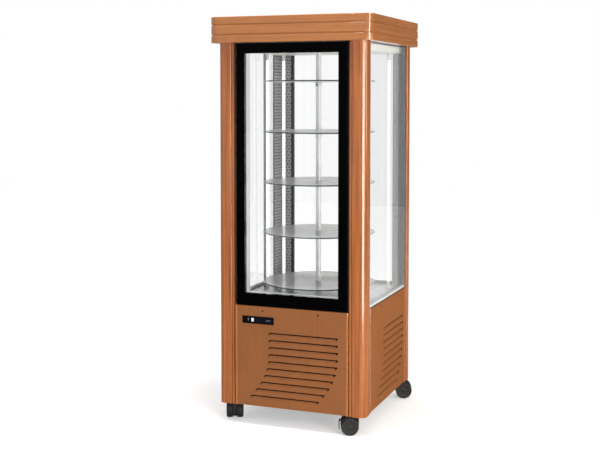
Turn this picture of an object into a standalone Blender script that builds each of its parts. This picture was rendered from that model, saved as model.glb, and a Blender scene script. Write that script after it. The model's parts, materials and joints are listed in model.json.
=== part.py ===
"""A free-standing refrigerated cake display case: glass walls on a louvred base,
a hinged glass door, a carousel of round glass shelves and four twin-wheel castors.

Metres, +Z up. The origin is on the floor under the middle of the case, the door faces -Y.
"""

import math

import bmesh
import bpy
from mathutils import Matrix, Vector

# Clearances and shared values
SEAT = 0.0003            # between pieces that rest on, or fit in, each other
OVERRUN = 0.010          # how far a cutter runs past the wall that it cuts
WELD = 0.00005
FACET_ANGLE = math.radians(35)

# Case
WIDTH = 0.703            # over the corner posts
DEPTH = 0.730
BASE_Z = 0.087           # underside of the posts and of the base pan
CROWN_Z = 1.734          # underside of the crown
HALF_X = WIDTH / 2
HALF_Y = DEPTH / 2

# Corner posts
POST_LEG = 0.0755
POST_WALL = 0.030
POST_RADIUS = 0.028
POST_FLANGE = 0.009
POST_FLANGE_SET = 0.004
POST_GROOVE = 0.003
POST_GROOVE_DEPTH = 0.007
POST_BORE_WALL = 0.0035
POST_IN_CROWN = 0.060    # how far the posts run up behind the crown
POST_ARC_STEPS = 6
POST_TOP = CROWN_Z + POST_IN_CROWN
OPENING_X = HALF_X - POST_LEG     # half the clear width between two posts
OPENING_Y = HALF_Y - POST_LEG
INNER_X = HALF_X - POST_WALL      # the posts' inner faces
INNER_Y = HALF_Y - POST_WALL

# Crown
CROWN_HEIGHT = 0.116
CROWN_OVERHANG = 0.034
CROWN_RADIUS = 0.045
CROWN_WALL = 0.006
CROWN_FLOOR = 0.003
CROWN_GROOVE = 0.005
CROWN_GROOVE_DEPTH = 0.004
CROWN_LOWER_BAND = 0.0325
CROWN_MIDDLE_BAND = 0.040
CROWN_EDGE = 0.004
CROWN_LEDGE = 0.012
CROWN_LEDGE_HEIGHT = 0.004
CROWN_ARC_STEPS = 6
LID_THICKNESS = 0.003
CROWN_X = HALF_X + CROWN_OVERHANG
CROWN_Y = HALF_Y + CROWN_OVERHANG
CROWN_TOP = CROWN_Z + CROWN_HEIGHT
LEDGE_TOP = CROWN_TOP - LID_THICKNESS - SEAT

# Base pan
PAN_SHEET = 0.003
PAN_RIM = 0.025
PAN_X = INNER_X - SEAT
PAN_Y = INNER_Y - SEAT
PAN_TOP = BASE_Z + PAN_SHEET

# Louvred panels
PANEL_TOP = 0.546
SIDE_PANEL_TOP = 0.556
PANEL_SET = 0.003        # behind the posts' faces
PANEL_SIDE_GAP = 0.004
PANEL_SHEET = 0.002
PANEL_EDGE = 0.005
PANEL_EDGE_STEPS = 2
LOUVRE_TOP = 0.430
LOUVRE_PITCH = 0.0324
LOUVRE_WIDTH = 0.328
LOUVRE_HEIGHT = 0.014
LOUVRE_DROP = 0.010      # how far a blade leans into the case
LOUVRE_BLADE = 0.0015
LOUVRE_LEFT = -0.1016    # left end of the top louvres on the front panel
LOUVRE_COUNT = 10
LOUVRE_FLARE_START = 3   # rows above this one line up
LOUVRE_FLARE_POWER = 2.0
LOUVRE_FLARE = 0.0892    # shift of the lowest louvre
LOUVRE_SLANT = 0.010
SIDE_LOUVRE_FRONT = -0.078
REAR_LOUVRE_LEFT = -0.164

# Fixed glazing: two panes and the spacer between them
GLASS_IN_CROWN = 0.020
GLASS_SET = 0.005
PANE = 0.004
GLASS_UNIT = 0.024
SPACER = 0.010
BREATHER_RADIUS = 0.003
BREATHER_STEPS = 8
GLASS_BOTTOM = SIDE_PANEL_TOP + SEAT
GLASS_TOP = CROWN_Z + GLASS_IN_CROWN
GLASS_DEPTH = GLASS_SET + GLASS_UNIT  # from a post's face to the glazing's inner face

# Cold space
INSULATION_BOTTOM = 0.500
INSULATION_TOP = 0.5560
TRAY_GAP = 0.0075
TRAY_X = HALF_X - GLASS_DEPTH - TRAY_GAP
TRAY_Y = HALF_Y - GLASS_DEPTH - TRAY_GAP
TRAY_SHEET = 0.003
CEILING = 0.030
CEILING_SET = 0.004      # below the crown
CEILING_TOP = CROWN_Z - CEILING_SET
CEILING_BOTTOM = CEILING_TOP - CEILING
TRAY_BOTTOM = INSULATION_TOP + SEAT
TRAY_TOP = TRAY_BOTTOM + TRAY_SHEET

# Top frame
FRAME_TUBE = 0.025

# Door: its gaps, then the widths of the black band round the clear opening
FINGER_GAP = 0.0133      # open strip beside the left post, for the fingers
DOOR_RIGHT_GAP = 0.009
DOOR_END_GAP = 0.003     # to the front panel and to the crown
BAND_LEFT = 0.0377
BAND_RIGHT = 0.0435
BAND_BOTTOM = 0.055
BAND_TOP = 0.045
DOOR_LEFT = FINGER_GAP - OPENING_X
DOOR_RIGHT = OPENING_X - DOOR_RIGHT_GAP
DOOR_BOTTOM = PANEL_TOP + DOOR_END_GAP
DOOR_TOP = CROWN_Z - DOOR_END_GAP
DOOR_SET = 0.004         # behind the posts' faces
DOOR_FACE = HALF_Y - DOOR_SET
DOOR_SWEEP = 0.004       # free height under and over the swinging door
DOOR_FRAME_INSET = 0.002
DOOR_FRAME_DEPTH = 0.020
CLEAR_LEFT = DOOR_LEFT + BAND_LEFT
CLEAR_RIGHT = DOOR_RIGHT - BAND_RIGHT
CLEAR_BOTTOM = DOOR_BOTTOM + BAND_BOTTOM
CLEAR_TOP = DOOR_TOP - BAND_TOP
INNER_PANE_LAP = 0.012
GASKET_INSET = 0.010
GASKET_WIDTH = 0.010
GASKET_DEPTH = 0.009
HINGE_SET = 0.012        # behind the door's face
HINGE_INSET = 0.012      # from the door's right edge
HINGE_X = DOOR_RIGHT - HINGE_INSET
HINGE_Y = HINGE_SET - DOOR_FACE
DOOR_FRAME_FRONT = -DOOR_FACE + PANE + SEAT
DOOR_FRAME_BACK = DOOR_FRAME_FRONT + DOOR_FRAME_DEPTH

# Hinge brackets
BRACKET_SHEET = 0.002
BRACKET_LENGTH = 0.036
BRACKET_DEPTH = 0.020
PIN_RADIUS = 0.004
PIN_REACH = 0.024        # how far a pin goes into the door frame
PIN_STEPS = 16
PIN_CLEARANCE = 0.0005

# Jamb behind the door
JAMB_FRONT = DOOR_FRAME_BACK + SEAT + GASKET_DEPTH + SEAT
JAMB_DEPTH = 0.045
JAMB_SET_LEFT = 0.006    # how far its opening stands back from the door's
JAMB_SET_RIGHT = 0.0055
JAMB_SET_BOTTOM = 0.006
JAMB_SET_TOP = 0.004
JAMB_OPEN_LEFT = CLEAR_LEFT - JAMB_SET_LEFT
JAMB_OPEN_RIGHT = CLEAR_RIGHT + JAMB_SET_RIGHT
JAMB_OPEN_BOTTOM = CLEAR_BOTTOM - JAMB_SET_BOTTOM
JAMB_OPEN_TOP = CLEAR_TOP + JAMB_SET_TOP

# Air ducts and lamps
DUCT_SIDE_LEG = 0.121
DUCT_REAR_LEG = 0.046
DUCT_SHEET = 0.0015
DUCT_GAP = 0.007
DUCT_X = HALF_X - GLASS_DEPTH - DUCT_GAP
DUCT_Y = HALF_Y - GLASS_DEPTH - DUCT_GAP
DUCT_SLOT = 0.007
DUCT_SLOT_HEIGHT = 0.046
DUCT_SLOT_PITCH = 0.061
DUCT_SLOT_COUNT = 18
LAMP_RADIUS = 0.007
LAMP_STEPS = 12
LAMP_HOLDER_RADIUS = 0.010
LAMP_HOLDER = 0.022
CORNER_LAMP_SET_X = 0.0435   # in from the ducts' sheets
CORNER_LAMP_SET_Y = 0.096
CORNER_LAMP_X = DUCT_X - CORNER_LAMP_SET_X
CORNER_LAMP_Y = DUCT_Y - CORNER_LAMP_SET_Y
WALL_LAMP_SET = 0.023    # in from the floor tray's edge
WALL_LAMP_X = WALL_LAMP_SET - TRAY_X
WALL_LAMP_Y = 0.068
WALL_LAMP_RAIL = 0.009   # depth of the rail behind the lamp at the left wall
WALL_LAMP_RAIL_WIDTH = 0.020

# Carousel
SHAFT_RADIUS = 0.013
SHAFT_STEPS = 20
SHAFT_END = 0.005        # between the shaft's top and the ceiling panel's top
SHELF_COUNT = 5
SHELF_RADIUS = 0.262
SHELF = 0.006
SHELF_FIRST = 0.611      # underside of the lowest shelf
SHELF_PITCH = 0.2377
SHELF_STEPS = 48
HUB_FLANGE_RADIUS = 0.032
HUB_FLANGE = 0.004
HUB_RADIUS = 0.020
HUB_HEIGHT = 0.020
HUB_STEPS = 20

# Control strip on the front panel
DISPLAY_SET = 0.0415     # from the left post
DISPLAY_WIDTH = 0.153
DISPLAY_LEFT = DISPLAY_SET - OPENING_X
DISPLAY_RIGHT = DISPLAY_LEFT + DISPLAY_WIDTH
DISPLAY_BOTTOM = 0.466
DISPLAY_TOP = 0.499
DISPLAY_PROUD = 0.002
DISPLAY_BODY = 0.016
DISPLAY_LIP = 0.004
SCREEN_SET = 0.0105      # from the bezel's right end
SCREEN_WIDTH = 0.078
SCREEN_RIGHT = DISPLAY_RIGHT - SCREEN_SET
SCREEN_LEFT = SCREEN_RIGHT - SCREEN_WIDTH
SCREEN_HEIGHT = 0.020
SCREEN_DEPTH = 0.0015
ROCKER_SET = 0.0505      # from the bezel's left end
ROCKER_X = DISPLAY_LEFT + ROCKER_SET
ROCKER_WIDTH = 0.0112
ROCKER_RADIUS = 0.0086
ROCKER_GAP = 0.0005
ROCKER_TILT = math.radians(7)
ROCKER_STEPS = 10
ROCKER_PROUD = 0.0005    # pivot in front of the panel's face

# Machinery below the cold space
COMPRESSOR_SET = 0.1512  # from the pan's left edge
COMPRESSOR_X = COMPRESSOR_SET - PAN_X
COMPRESSOR_Y = 0.060
COMPRESSOR_RADIUS = 0.072
COMPRESSOR_NECK = 0.062
COMPRESSOR_HEIGHT = 0.190
COMPRESSOR_DOME = 0.035
COMPRESSOR_FOOT = 0.180
COMPRESSOR_FOOT_SHEET = 0.004
COMPRESSOR_STEPS = 20
COIL_X = 0.060
COIL_SET = 0.0447        # from the pan's front edge
COIL_FRONT = COIL_SET - PAN_Y
COIL_DEPTH = 0.050
COIL_WIDTH = 0.280
COIL_HEIGHT = 0.270
FIN = 0.006
FIN_COUNT = 9
FIN_CUT_SHARE = 0.7      # of the coil's depth between two fins
EVAPORATOR_X = 0.0
EVAPORATOR_Y = 0.215
EVAPORATOR_DEPTH = 0.080
EVAPORATOR_WIDTH = 0.260
EVAPORATOR_HEIGHT = 0.120
FAN_GAP = 0.012          # between a coil and its fan
MOTOR_RADIUS = 0.030
MOTOR_LENGTH = 0.050
MOTOR_STEPS = 16
STRUT = 0.016
FAN_HUB_RADIUS = 0.022
FAN_DEPTH = 0.030
FAN_BLADES = 5
FAN_BLADE = 0.0025
FAN_PITCH = math.radians(32)
CONDENSER_FAN_RADIUS = 0.110
EVAPORATOR_FAN_RADIUS = 0.052
GEARBOX_HALF = 0.045
GEARBOX_HEIGHT = 0.060
INLET_SET = 0.076        # from the post beside it
INLET_X = INLET_SET - OPENING_X
INLET_Z = 0.150
INLET_WIDTH = 0.050
INLET_HEIGHT = 0.028
INLET_FLANGE = 0.003
INLET_BODY_INSET = 0.010
INLET_BODY = 0.022

# Castors
CASTOR_INSET = 0.053     # stem from the case's faces
CASTOR_PLATE = 0.056
CASTOR_PLATE_SHEET = 0.003
CASTOR_STUD = 0.008      # radius of the stud that holds a plate to the pan
CASTOR_TRAIL = 0.034
CASTOR_TURN = math.radians(21)  # how far all four stand turned from the case's sides
WHEEL_RADIUS = 0.040
WHEEL_WIDTH = 0.029
WHEEL_GAP = 0.018
WHEEL_EDGE = 0.003
WHEEL_RIM = 0.008
WHEEL_DISH = 0.003
WHEEL_STEPS = 20
AXLE_RADIUS = 0.004
AXLE_CLEARANCE = 0.0004
WEB_CLEARANCE = 0.001    # between the hood's web and a wheel
WEB_RADIUS = 0.034
HOOD_RADIUS = 0.0425
HOOD_CLEARANCE = 0.001
HOOD_START = math.radians(28)
HOOD_END = math.radians(158)
HOOD_STEPS = 10
RIB_INSET = math.radians(4)
SWIVEL_RADIUS = 0.014
SWIVEL_HEIGHT = 0.010
SWIVEL_STEPS = 16
PEDAL_WIDTH = 0.024
PEDAL_SHEET = 0.003
PEDAL_TOP = 0.062
PEDAL_BOTTOM = 0.022
PEDAL_BARREL = 0.003
PEDAL_GAP = 0.0025       # between a pedal and the wheels
CASTORS = (
    ("front_right", 1, -1, math.radians(90), True),
    ("front_left", -1, -1, 0, True),
    ("rear_right", 1, 1, math.radians(-90), False),
    ("rear_left", -1, 1, math.radians(-90), False),
)

for old in list(bpy.data.objects):
    bpy.data.objects.remove(old, do_unlink=True)
case = bpy.data.collections.new("cake_display_case")
cutters = bpy.data.collections.new("cutters")
for collection in (case, cutters):
    bpy.context.scene.collection.children.link(collection)


def finish(name, colour, roughness, metallic=0.0, alpha=1.0):
    """A plain surface finish."""
    surface = bpy.data.materials.new(name)
    surface.use_nodes = True
    shader = surface.node_tree.nodes["Principled BSDF"]
    shader.inputs["Base Color"].default_value = (*colour, 1.0)
    shader.inputs["Roughness"].default_value = roughness
    shader.inputs["Metallic"].default_value = metallic
    shader.inputs["Alpha"].default_value = alpha
    return surface


COPPER = finish("copper_paint", (0.45, 0.16, 0.05), 0.4, 0.3)
BLACK = finish("black_enamel", (0.01, 0.01, 0.01), 0.2)
STEEL = finish("stainless_steel", (0.45, 0.45, 0.46), 0.3, 1.0)
ZINC = finish("zinc_plate", (0.55, 0.56, 0.57), 0.45, 0.9)
GLASS = finish("clear_glass", (0.85, 0.92, 0.90), 0.03, 0.0, 0.3)
SEAL = finish("black_rubber", (0.03, 0.03, 0.03), 0.7)
GREY = finish("light_grey_profile", (0.55, 0.56, 0.57), 0.4, 0.4)
LAMP = finish("lamp_glass", (0.95, 0.96, 1.0), 0.4)
WHITE = finish("white_plastic", (0.8, 0.8, 0.8), 0.4)
CASTOR = finish("castor_plastic", (0.04, 0.04, 0.04), 0.5)
MACHINE = finish("machine_paint", (0.02, 0.02, 0.02), 0.5)
SCREEN = finish("display_window", (0.03, 0.03, 0.035), 0.1)


def put(mesh, smooth=False):
    """A mesh as an object that stands with the cutters until it is kept as a part."""
    solid = bpy.data.objects.new(mesh.name, mesh)
    cutters.objects.link(solid)
    solid.hide_render = True
    solid.display_type = "WIRE"
    if smooth:
        mesh.shade_smooth()
        mesh.set_sharp_from_angle(angle=FACET_ANGLE)
    return solid


def block(low, high):
    """A block between two opposite corners."""
    low = Vector(low)
    high = Vector(high)
    mesh = bpy.data.meshes.new("block")
    shape = bmesh.new()
    size = Matrix.Diagonal((*(high - low), 1))
    bmesh.ops.create_cube(shape, size=1, matrix=Matrix.Translation((low + high) / 2) @ size)
    shape.to_mesh(mesh)
    shape.free()
    return put(mesh)


def along(axis, start):
    """The turn and shift that lay a shape's local Z along an axis, from a starting point."""
    turns = {
        "X": Matrix(((0, 0, 1), (1, 0, 0), (0, 1, 0))),
        "Y": Matrix(((1, 0, 0), (0, 0, 1), (0, 1, 0))),
        "Z": Matrix.Identity(3),
    }
    return Matrix.Translation(start) @ turns[axis].to_4x4()


def rod(axis, start, end, radius, steps, tip_radius=None):
    """A round bar from a starting point to a coordinate on its axis, with a flat facet
    towards the bar's first side."""
    start = Vector(start)
    index = "XYZ".index(axis)
    length = end - start[index]
    middle = start.copy()
    middle[index] += length / 2
    mesh = bpy.data.meshes.new("rod")
    shape = bmesh.new()
    bmesh.ops.create_cone(
        shape, cap_ends=True, segments=steps, radius1=radius,
        radius2=radius if tip_radius is None else tip_radius, depth=length,
        matrix=along(axis, middle) @ Matrix.Rotation(math.pi / steps, 4, "Z"),
    )
    bmesh.ops.recalc_face_normals(shape, faces=shape.faces)
    shape.to_mesh(mesh)
    shape.free()
    return put(mesh, smooth=True)


def outline(axis, start, end, *loops, smooth=False):
    """A flat outline, with any further loops as its holes, extruded along an axis.
    Its two coordinates are the axes that follow in the order X, Y, Z for Z; X, Z for Y; Y, Z for X."""
    curve = bpy.data.curves.new("outline", "CURVE")
    curve.dimensions = "2D"
    curve.fill_mode = "BOTH"
    curve.extrude = (end - start) / 2
    for loop in loops:
        spline = curve.splines.new("POLY")
        spline.points.add(len(loop) - 1)
        for point, (u, v) in zip(spline.points, loop):
            point.co = (u, v, 0, 1)
        spline.use_cyclic_u = True
    flat = bpy.data.objects.new("outline", curve)
    cutters.objects.link(flat)
    bpy.context.view_layer.update()
    mesh = bpy.data.meshes.new_from_object(flat.evaluated_get(bpy.context.evaluated_depsgraph_get()))
    bpy.data.objects.remove(flat)
    middle = (start + end) / 2
    place = Vector([middle if letter == axis else 0 for letter in "XYZ"])
    shape = bmesh.new()
    shape.from_mesh(mesh)
    bmesh.ops.remove_doubles(shape, verts=shape.verts, dist=WELD)
    bmesh.ops.transform(shape, matrix=along(axis, place), verts=shape.verts)
    bmesh.ops.recalc_face_normals(shape, faces=shape.faces)
    shape.to_mesh(mesh)
    shape.free()
    return put(mesh, smooth)


def turned(axis, place, profile, steps):
    """A profile of (radius, height) from top to bottom, turned round an axis at a place."""
    mesh = bpy.data.meshes.new("turned")
    points = [(radius, 0, height) for radius, height in profile]
    mesh.from_pydata(points, [(i, i + 1) for i in range(len(points) - 1)], [])
    solid = put(mesh)
    screw = solid.modifiers.new("turn", "SCREW")
    screw.steps = steps
    screw.render_steps = steps
    screw.use_merge_vertices = True
    screw.merge_threshold = WELD
    screw.use_smooth_shade = True
    weld = solid.modifiers.new("poles", "WELD")
    weld.merge_threshold = WELD
    turn = Matrix.Rotation(math.pi / steps, 4, "Z")
    solid.matrix_basis = along(axis, place) @ turn
    return solid


def combine(solid, operation, *others):
    """Cut other solids from one, or join them to it."""
    for other in others:
        step = solid.modifiers.new(operation.lower(), "BOOLEAN")
        step.operation = operation
        step.solver = "EXACT"
        step.object = other
    return solid


def cut(solid, *others):
    """Take other solids out of one."""
    return combine(solid, "DIFFERENCE", *others)


def join(solid, *others):
    """Make one body of overlapping solids."""
    return combine(solid, "UNION", *others)


def group(solids):
    """Separate cutters as one mesh, for one cut."""
    mesh = bpy.data.meshes.new("group")
    shape = bmesh.new()
    bpy.context.view_layer.update()
    graph = bpy.context.evaluated_depsgraph_get()
    for solid in solids:
        part = bpy.data.meshes.new_from_object(solid.evaluated_get(graph))
        part.transform(solid.matrix_world)
        shape.from_mesh(part)
        bpy.data.meshes.remove(part)
    shape.to_mesh(mesh)
    shape.free()
    return put(mesh, smooth=True)


def rounded(solid, width, steps):
    """Round a solid's sharp edges."""
    edge = solid.modifiers.new("edges", "BEVEL")
    edge.width = width
    edge.segments = steps
    edge.limit_method = "ANGLE"
    edge.angle_limit = FACET_ANGLE
    return solid


def helpers(solid):
    """A solid and, in turn, the solids that its Booleans use."""
    yield solid
    for step in solid.modifiers:
        if step.type == "BOOLEAN":
            yield from helpers(step.object)


def keep(solid, name, surface, carrier=None):
    """Name a solid as a part of the case, on a carrier where it moves."""
    for helper in helpers(solid):
        helper.parent = carrier
    cutters.objects.unlink(solid)
    case.objects.link(solid)
    solid.hide_render = False
    solid.display_type = "TEXTURED"
    solid.name = name
    solid.data.materials.clear()
    solid.data.materials.append(surface)
    return solid


def pivot(name, place, turn=0.0, carrier=None):
    """An empty on a joint's axis."""
    empty = bpy.data.objects.new(name, None)
    case.objects.link(empty)
    empty.location = place
    empty.rotation_euler = (0, 0, turn)
    empty.parent = carrier
    return empty


def arc(centre, radius, start, end, steps):
    """Points of a circular arc, both ends included."""
    angles = [start + (end - start) * i / steps for i in range(steps + 1)]
    return [(centre[0] + radius * math.cos(a), centre[1] + radius * math.sin(a)) for a in angles]


def rounded_rectangle(half_x, half_y, radius, steps):
    """Outline of a rectangle with round corners."""
    points = []
    for quarter, (x, y) in enumerate(((1, 1), (-1, 1), (-1, -1), (1, -1))):
        centre = (x * (half_x - radius), y * (half_y - radius))
        start = quarter * math.pi / 2
        points += arc(centre, radius, start, start + math.pi / 2, steps)
    return points


def rectangle(left, right, bottom, top):
    """Outline of a rectangle."""
    return [(left, bottom), (right, bottom), (right, top), (left, top)]


def post_outline():
    """Section of the front right post, from its front leg round the corner to its side leg."""
    step = POST_LEG - POST_FLANGE
    leg = [
        (POST_LEG, POST_FLANGE_SET), (step, POST_FLANGE_SET), (step, POST_GROOVE_DEPTH),
        (step - POST_GROOVE, POST_GROOVE_DEPTH), (step - POST_GROOVE, 0),
    ]
    corner = arc((POST_RADIUS, POST_RADIUS), POST_RADIUS, -math.pi / 2, -math.pi, POST_ARC_STEPS)
    front = [(POST_LEG, POST_WALL)] + leg + corner
    side = [(v, u) for u, v in reversed(leg)] + [(POST_WALL, POST_LEG), (POST_WALL, POST_WALL)]
    return [(HALF_X - u, v - HALF_Y) for u, v in front + side]


def post_bore():
    """The hollow inside a post's wall, which follows its L."""
    near = POST_GROOVE_DEPTH + POST_BORE_WALL
    far = POST_WALL - POST_BORE_WALL
    end = POST_LEG - POST_BORE_WALL
    bend = arc((POST_RADIUS, POST_RADIUS), POST_RADIUS - near, -math.pi / 2, -math.pi, POST_ARC_STEPS)
    points = [(end, near)] + bend + [(near, end), (far, end), (far, far), (end, far)]
    return [(HALF_X - u, v - HALF_Y) for u, v in points]


def posts():
    """Four hollow corner posts with grooved legs and a round outer corner."""
    for name, x, y in (
        ("post_front_right", 1, 1), ("post_front_left", -1, 1),
        ("post_rear_right", 1, -1), ("post_rear_left", -1, -1),
    ):
        loops = [[(x * u, y * v) for u, v in loop] for loop in (post_outline(), post_bore())]
        keep(outline("Z", BASE_Z, POST_TOP, *loops, smooth=True), name, COPPER)


def crown():
    """The crown: three bands round a wall, with a floor outside the posts and a lid on a ledge."""
    def slab(inset, bottom, top):
        loop = rounded_rectangle(
            CROWN_X - inset, CROWN_Y - inset, CROWN_RADIUS - inset, CROWN_ARC_STEPS
        )
        return outline("Z", bottom, top, loop, smooth=True)

    middle = CROWN_Z + CROWN_LOWER_BAND + CROWN_GROOVE
    upper = middle + CROWN_MIDDLE_BAND + CROWN_GROOVE
    core = slab(CROWN_GROOVE_DEPTH, CROWN_Z + CROWN_EDGE, CROWN_TOP - CROWN_EDGE)
    for bottom, top in (
        (CROWN_Z, CROWN_Z + CROWN_LOWER_BAND), (middle, middle + CROWN_MIDDLE_BAND), (upper, CROWN_TOP),
    ):
        join(core, rounded(slab(0, bottom, top), CROWN_EDGE / 2, 2))
    wall = CROWN_GROOVE_DEPTH + CROWN_WALL
    inside = slab(wall, CROWN_Z + CROWN_FLOOR, LEDGE_TOP - CROWN_LEDGE_HEIGHT)
    wide = HALF_X + SEAT
    deep = HALF_Y + SEAT
    hole = block((-wide, -deep, CROWN_Z - OVERRUN), (wide, deep, CROWN_Z + OVERRUN))
    mouth = slab(wall + CROWN_LEDGE, CROWN_TOP - 2 * OVERRUN, CROWN_TOP + OVERRUN)
    seat = slab(wall, LEDGE_TOP, CROWN_TOP + OVERRUN)
    keep(cut(core, inside, hole, mouth, seat), "crown_fascia", COPPER)
    keep(slab(wall + SEAT, LEDGE_TOP + SEAT, CROWN_TOP), "crown_lid", GREY)


def top_frame():
    """The frame of square tube between the posts, over the ceiling panel."""
    outer = rectangle(-PAN_X, PAN_X, -PAN_Y, PAN_Y)
    wide = PAN_X - FRAME_TUBE
    deep = PAN_Y - FRAME_TUBE
    inner = rectangle(-wide, wide, -deep, deep)
    bottom = CEILING_TOP + SEAT
    frame = outline("Z", bottom, bottom + FRAME_TUBE, outer, inner)
    keep(cut(frame, door_sweep(bottom - OVERRUN, DOOR_TOP + DOOR_SWEEP)), "top_frame", ZINC)


def door_sweep(bottom, top):
    """A cutter for the front edge of a piece, where the door's hinged corner swings past it."""
    wide = PAN_X + OVERRUN
    return block((-wide, -PAN_Y - OVERRUN, bottom), (wide, JAMB_FRONT, top))


def base():
    """The base pan with its upturned rim and the castors' mounting plates, riveted on below,
    then the insulated floor over the machinery, its tray and the ceiling panel."""
    pan = block((-PAN_X, -PAN_Y, BASE_Z), (PAN_X, PAN_Y, PAN_TOP + PAN_RIM))
    wide = PAN_X - PAN_SHEET
    deep = PAN_Y - PAN_SHEET
    hollow = block((-wide, -deep, PAN_TOP), (wide, deep, PAN_TOP + PAN_RIM + OVERRUN))
    cut(pan, hollow)
    half = CASTOR_PLATE / 2
    for x in (CASTOR_INSET - HALF_X, HALF_X - CASTOR_INSET):
        for y in (CASTOR_INSET - HALF_Y, HALF_Y - CASTOR_INSET):
            low = (x - half, y - half, BASE_Z - SEAT - CASTOR_PLATE_SHEET)
            join(pan, block(low, (x + half, y + half, BASE_Z - SEAT)))
            foot = (x, y, BASE_Z - CASTOR_PLATE_SHEET)
            join(pan, rod("Z", foot, PAN_TOP + SEAT, CASTOR_STUD, SWIVEL_STEPS))
    keep(pan, "base_pan", ZINC)
    slab = block((-PAN_X, -PAN_Y, INSULATION_BOTTOM), (PAN_X, PAN_Y, INSULATION_TOP))
    cut(slab, door_sweep(DOOR_BOTTOM - DOOR_SWEEP, INSULATION_TOP + OVERRUN))
    keep(cut(slab, shaft_hole(INSULATION_BOTTOM, INSULATION_TOP)), "insulated_floor", WHITE)
    tray = block((-TRAY_X, -TRAY_Y, TRAY_BOTTOM), (TRAY_X, TRAY_Y, TRAY_TOP))
    keep(cut(tray, shaft_hole(TRAY_BOTTOM, TRAY_TOP)), "floor_tray", STEEL)
    back = JAMB_FRONT + JAMB_DEPTH + SEAT
    ceiling = block((-TRAY_X, back, CEILING_BOTTOM), (TRAY_X, TRAY_Y, CEILING_TOP))
    keep(cut(ceiling, shaft_hole(CEILING_BOTTOM, CEILING_TOP)), "ceiling_panel", WHITE)


def shaft_hole(bottom, top):
    """The running hole for the carousel's shaft."""
    return rod("Z", (0, 0, bottom - OVERRUN), top + OVERRUN, SHAFT_RADIUS + SEAT, SHAFT_STEPS)


def louvre_rows():
    """Height of each louvre's upper edge, and how far the flare shifts it from the first."""
    for row in range(LOUVRE_COUNT):
        flare_share = max(0, row - LOUVRE_FLARE_START) / (LOUVRE_COUNT - 1 - LOUVRE_FLARE_START)
        yield LOUVRE_TOP - row * LOUVRE_PITCH, LOUVRE_FLARE * flare_share ** LOUVRE_FLARE_POWER


def louvred_panel(top, opening, half, first, flare):
    """A panel that faces -Y, as a tray open at its back, with leaning louvre blades. It lies
    between posts whose legs end at an opening's half width and whose faces are a half depth out.
    The louvres start at first, and the lower ones shift by their flare times the last value."""
    side = opening - PANEL_SIDE_GAP
    face = PANEL_SET - half
    back = POST_WALL - half
    panel = rounded(block((-side, face, BASE_Z), (side, back, top)), PANEL_EDGE, PANEL_EDGE_STEPS)
    hollow = block(
        (PANEL_EDGE - side, face + PANEL_SHEET, BASE_Z + PANEL_EDGE),
        (side - PANEL_EDGE, back + OVERRUN, top - PANEL_EDGE),
    )
    cut(panel, hollow)
    for upper, shift in louvre_rows():
        left = first - flare * shift
        lean = flare * LOUVRE_SLANT
        corners = [
            (left, upper), (left - lean, upper - LOUVRE_HEIGHT),
            (left - lean + LOUVRE_WIDTH, upper - LOUVRE_HEIGHT), (left + LOUVRE_WIDTH, upper),
        ]
        cut(panel, outline("Y", face - OVERRUN, face + PANEL_SHEET + OVERRUN, corners))
        join(panel, louvre_blade(face, left - lean, upper - LOUVRE_HEIGHT))
    return panel


def louvre_blade(face, left, foot):
    """One blade: a strip that leans from its slot's lower edge up into the case."""
    lap = LOUVRE_BLADE
    near = face + LOUVRE_BLADE / 2
    far = near + LOUVRE_DROP
    tip = foot + LOUVRE_HEIGHT
    section = [
        (near, foot - lap), (near + LOUVRE_BLADE, foot - lap),
        (far + LOUVRE_BLADE, tip), (far, tip),
    ]
    return outline("X", left - lap, left + LOUVRE_WIDTH + lap, section)


def panels():
    """The four louvred panels round the machinery."""
    front = louvred_panel(PANEL_TOP, OPENING_X, HALF_Y, LOUVRE_LEFT, 1)
    hole = block(
        (DISPLAY_LEFT + DISPLAY_LIP, -HALF_Y - OVERRUN, DISPLAY_BOTTOM + DISPLAY_LIP),
        (DISPLAY_RIGHT - DISPLAY_LIP, -INNER_Y, DISPLAY_TOP - DISPLAY_LIP),
    )
    keep(cut(front, hole), "front_panel", COPPER)
    right = louvred_panel(SIDE_PANEL_TOP, OPENING_Y, HALF_X, SIDE_LOUVRE_FRONT, 1)
    keep(right, "right_panel", COPPER, pivot("right_side", (0, 0, 0), math.radians(90)))
    first = -SIDE_LOUVRE_FRONT - LOUVRE_WIDTH
    left = louvred_panel(SIDE_PANEL_TOP, OPENING_Y, HALF_X, first, -1)
    keep(left, "left_panel", COPPER, pivot("left_side", (0, 0, 0), math.radians(-90)))
    rear = louvred_panel(SIDE_PANEL_TOP, OPENING_X, HALF_Y, REAR_LOUVRE_LEFT, 0)
    width = INLET_WIDTH / 2 - INLET_BODY_INSET + SEAT
    height = INLET_HEIGHT / 2 + SEAT
    inlet = block(
        (-INLET_X - width, -HALF_Y - OVERRUN, INLET_Z - height + INLET_BODY_INSET / 2),
        (-INLET_X + width, -INNER_Y, INLET_Z + height - INLET_BODY_INSET / 2),
    )
    keep(cut(rear, inlet), "rear_panel", COPPER, pivot("rear_side", (0, 0, 0), math.radians(180)))


def power_inlet():
    """The mains inlet: a flange on the rear panel's face and a body through it."""
    face = HALF_Y - PANEL_SET + SEAT
    width = INLET_WIDTH / 2
    height = INLET_HEIGHT / 2
    flange = block(
        (INLET_X - width, face, INLET_Z - height), (INLET_X + width, face + INLET_FLANGE, INLET_Z + height)
    )
    body_width = width - INLET_BODY_INSET
    body_height = height - INLET_BODY_INSET / 2
    body = block(
        (INLET_X - body_width, face - INLET_BODY, INLET_Z - body_height),
        (INLET_X + body_width, face + INLET_FLANGE / 2, INLET_Z + body_height),
    )
    keep(join(flange, body), "power_inlet", SEAL)


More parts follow.
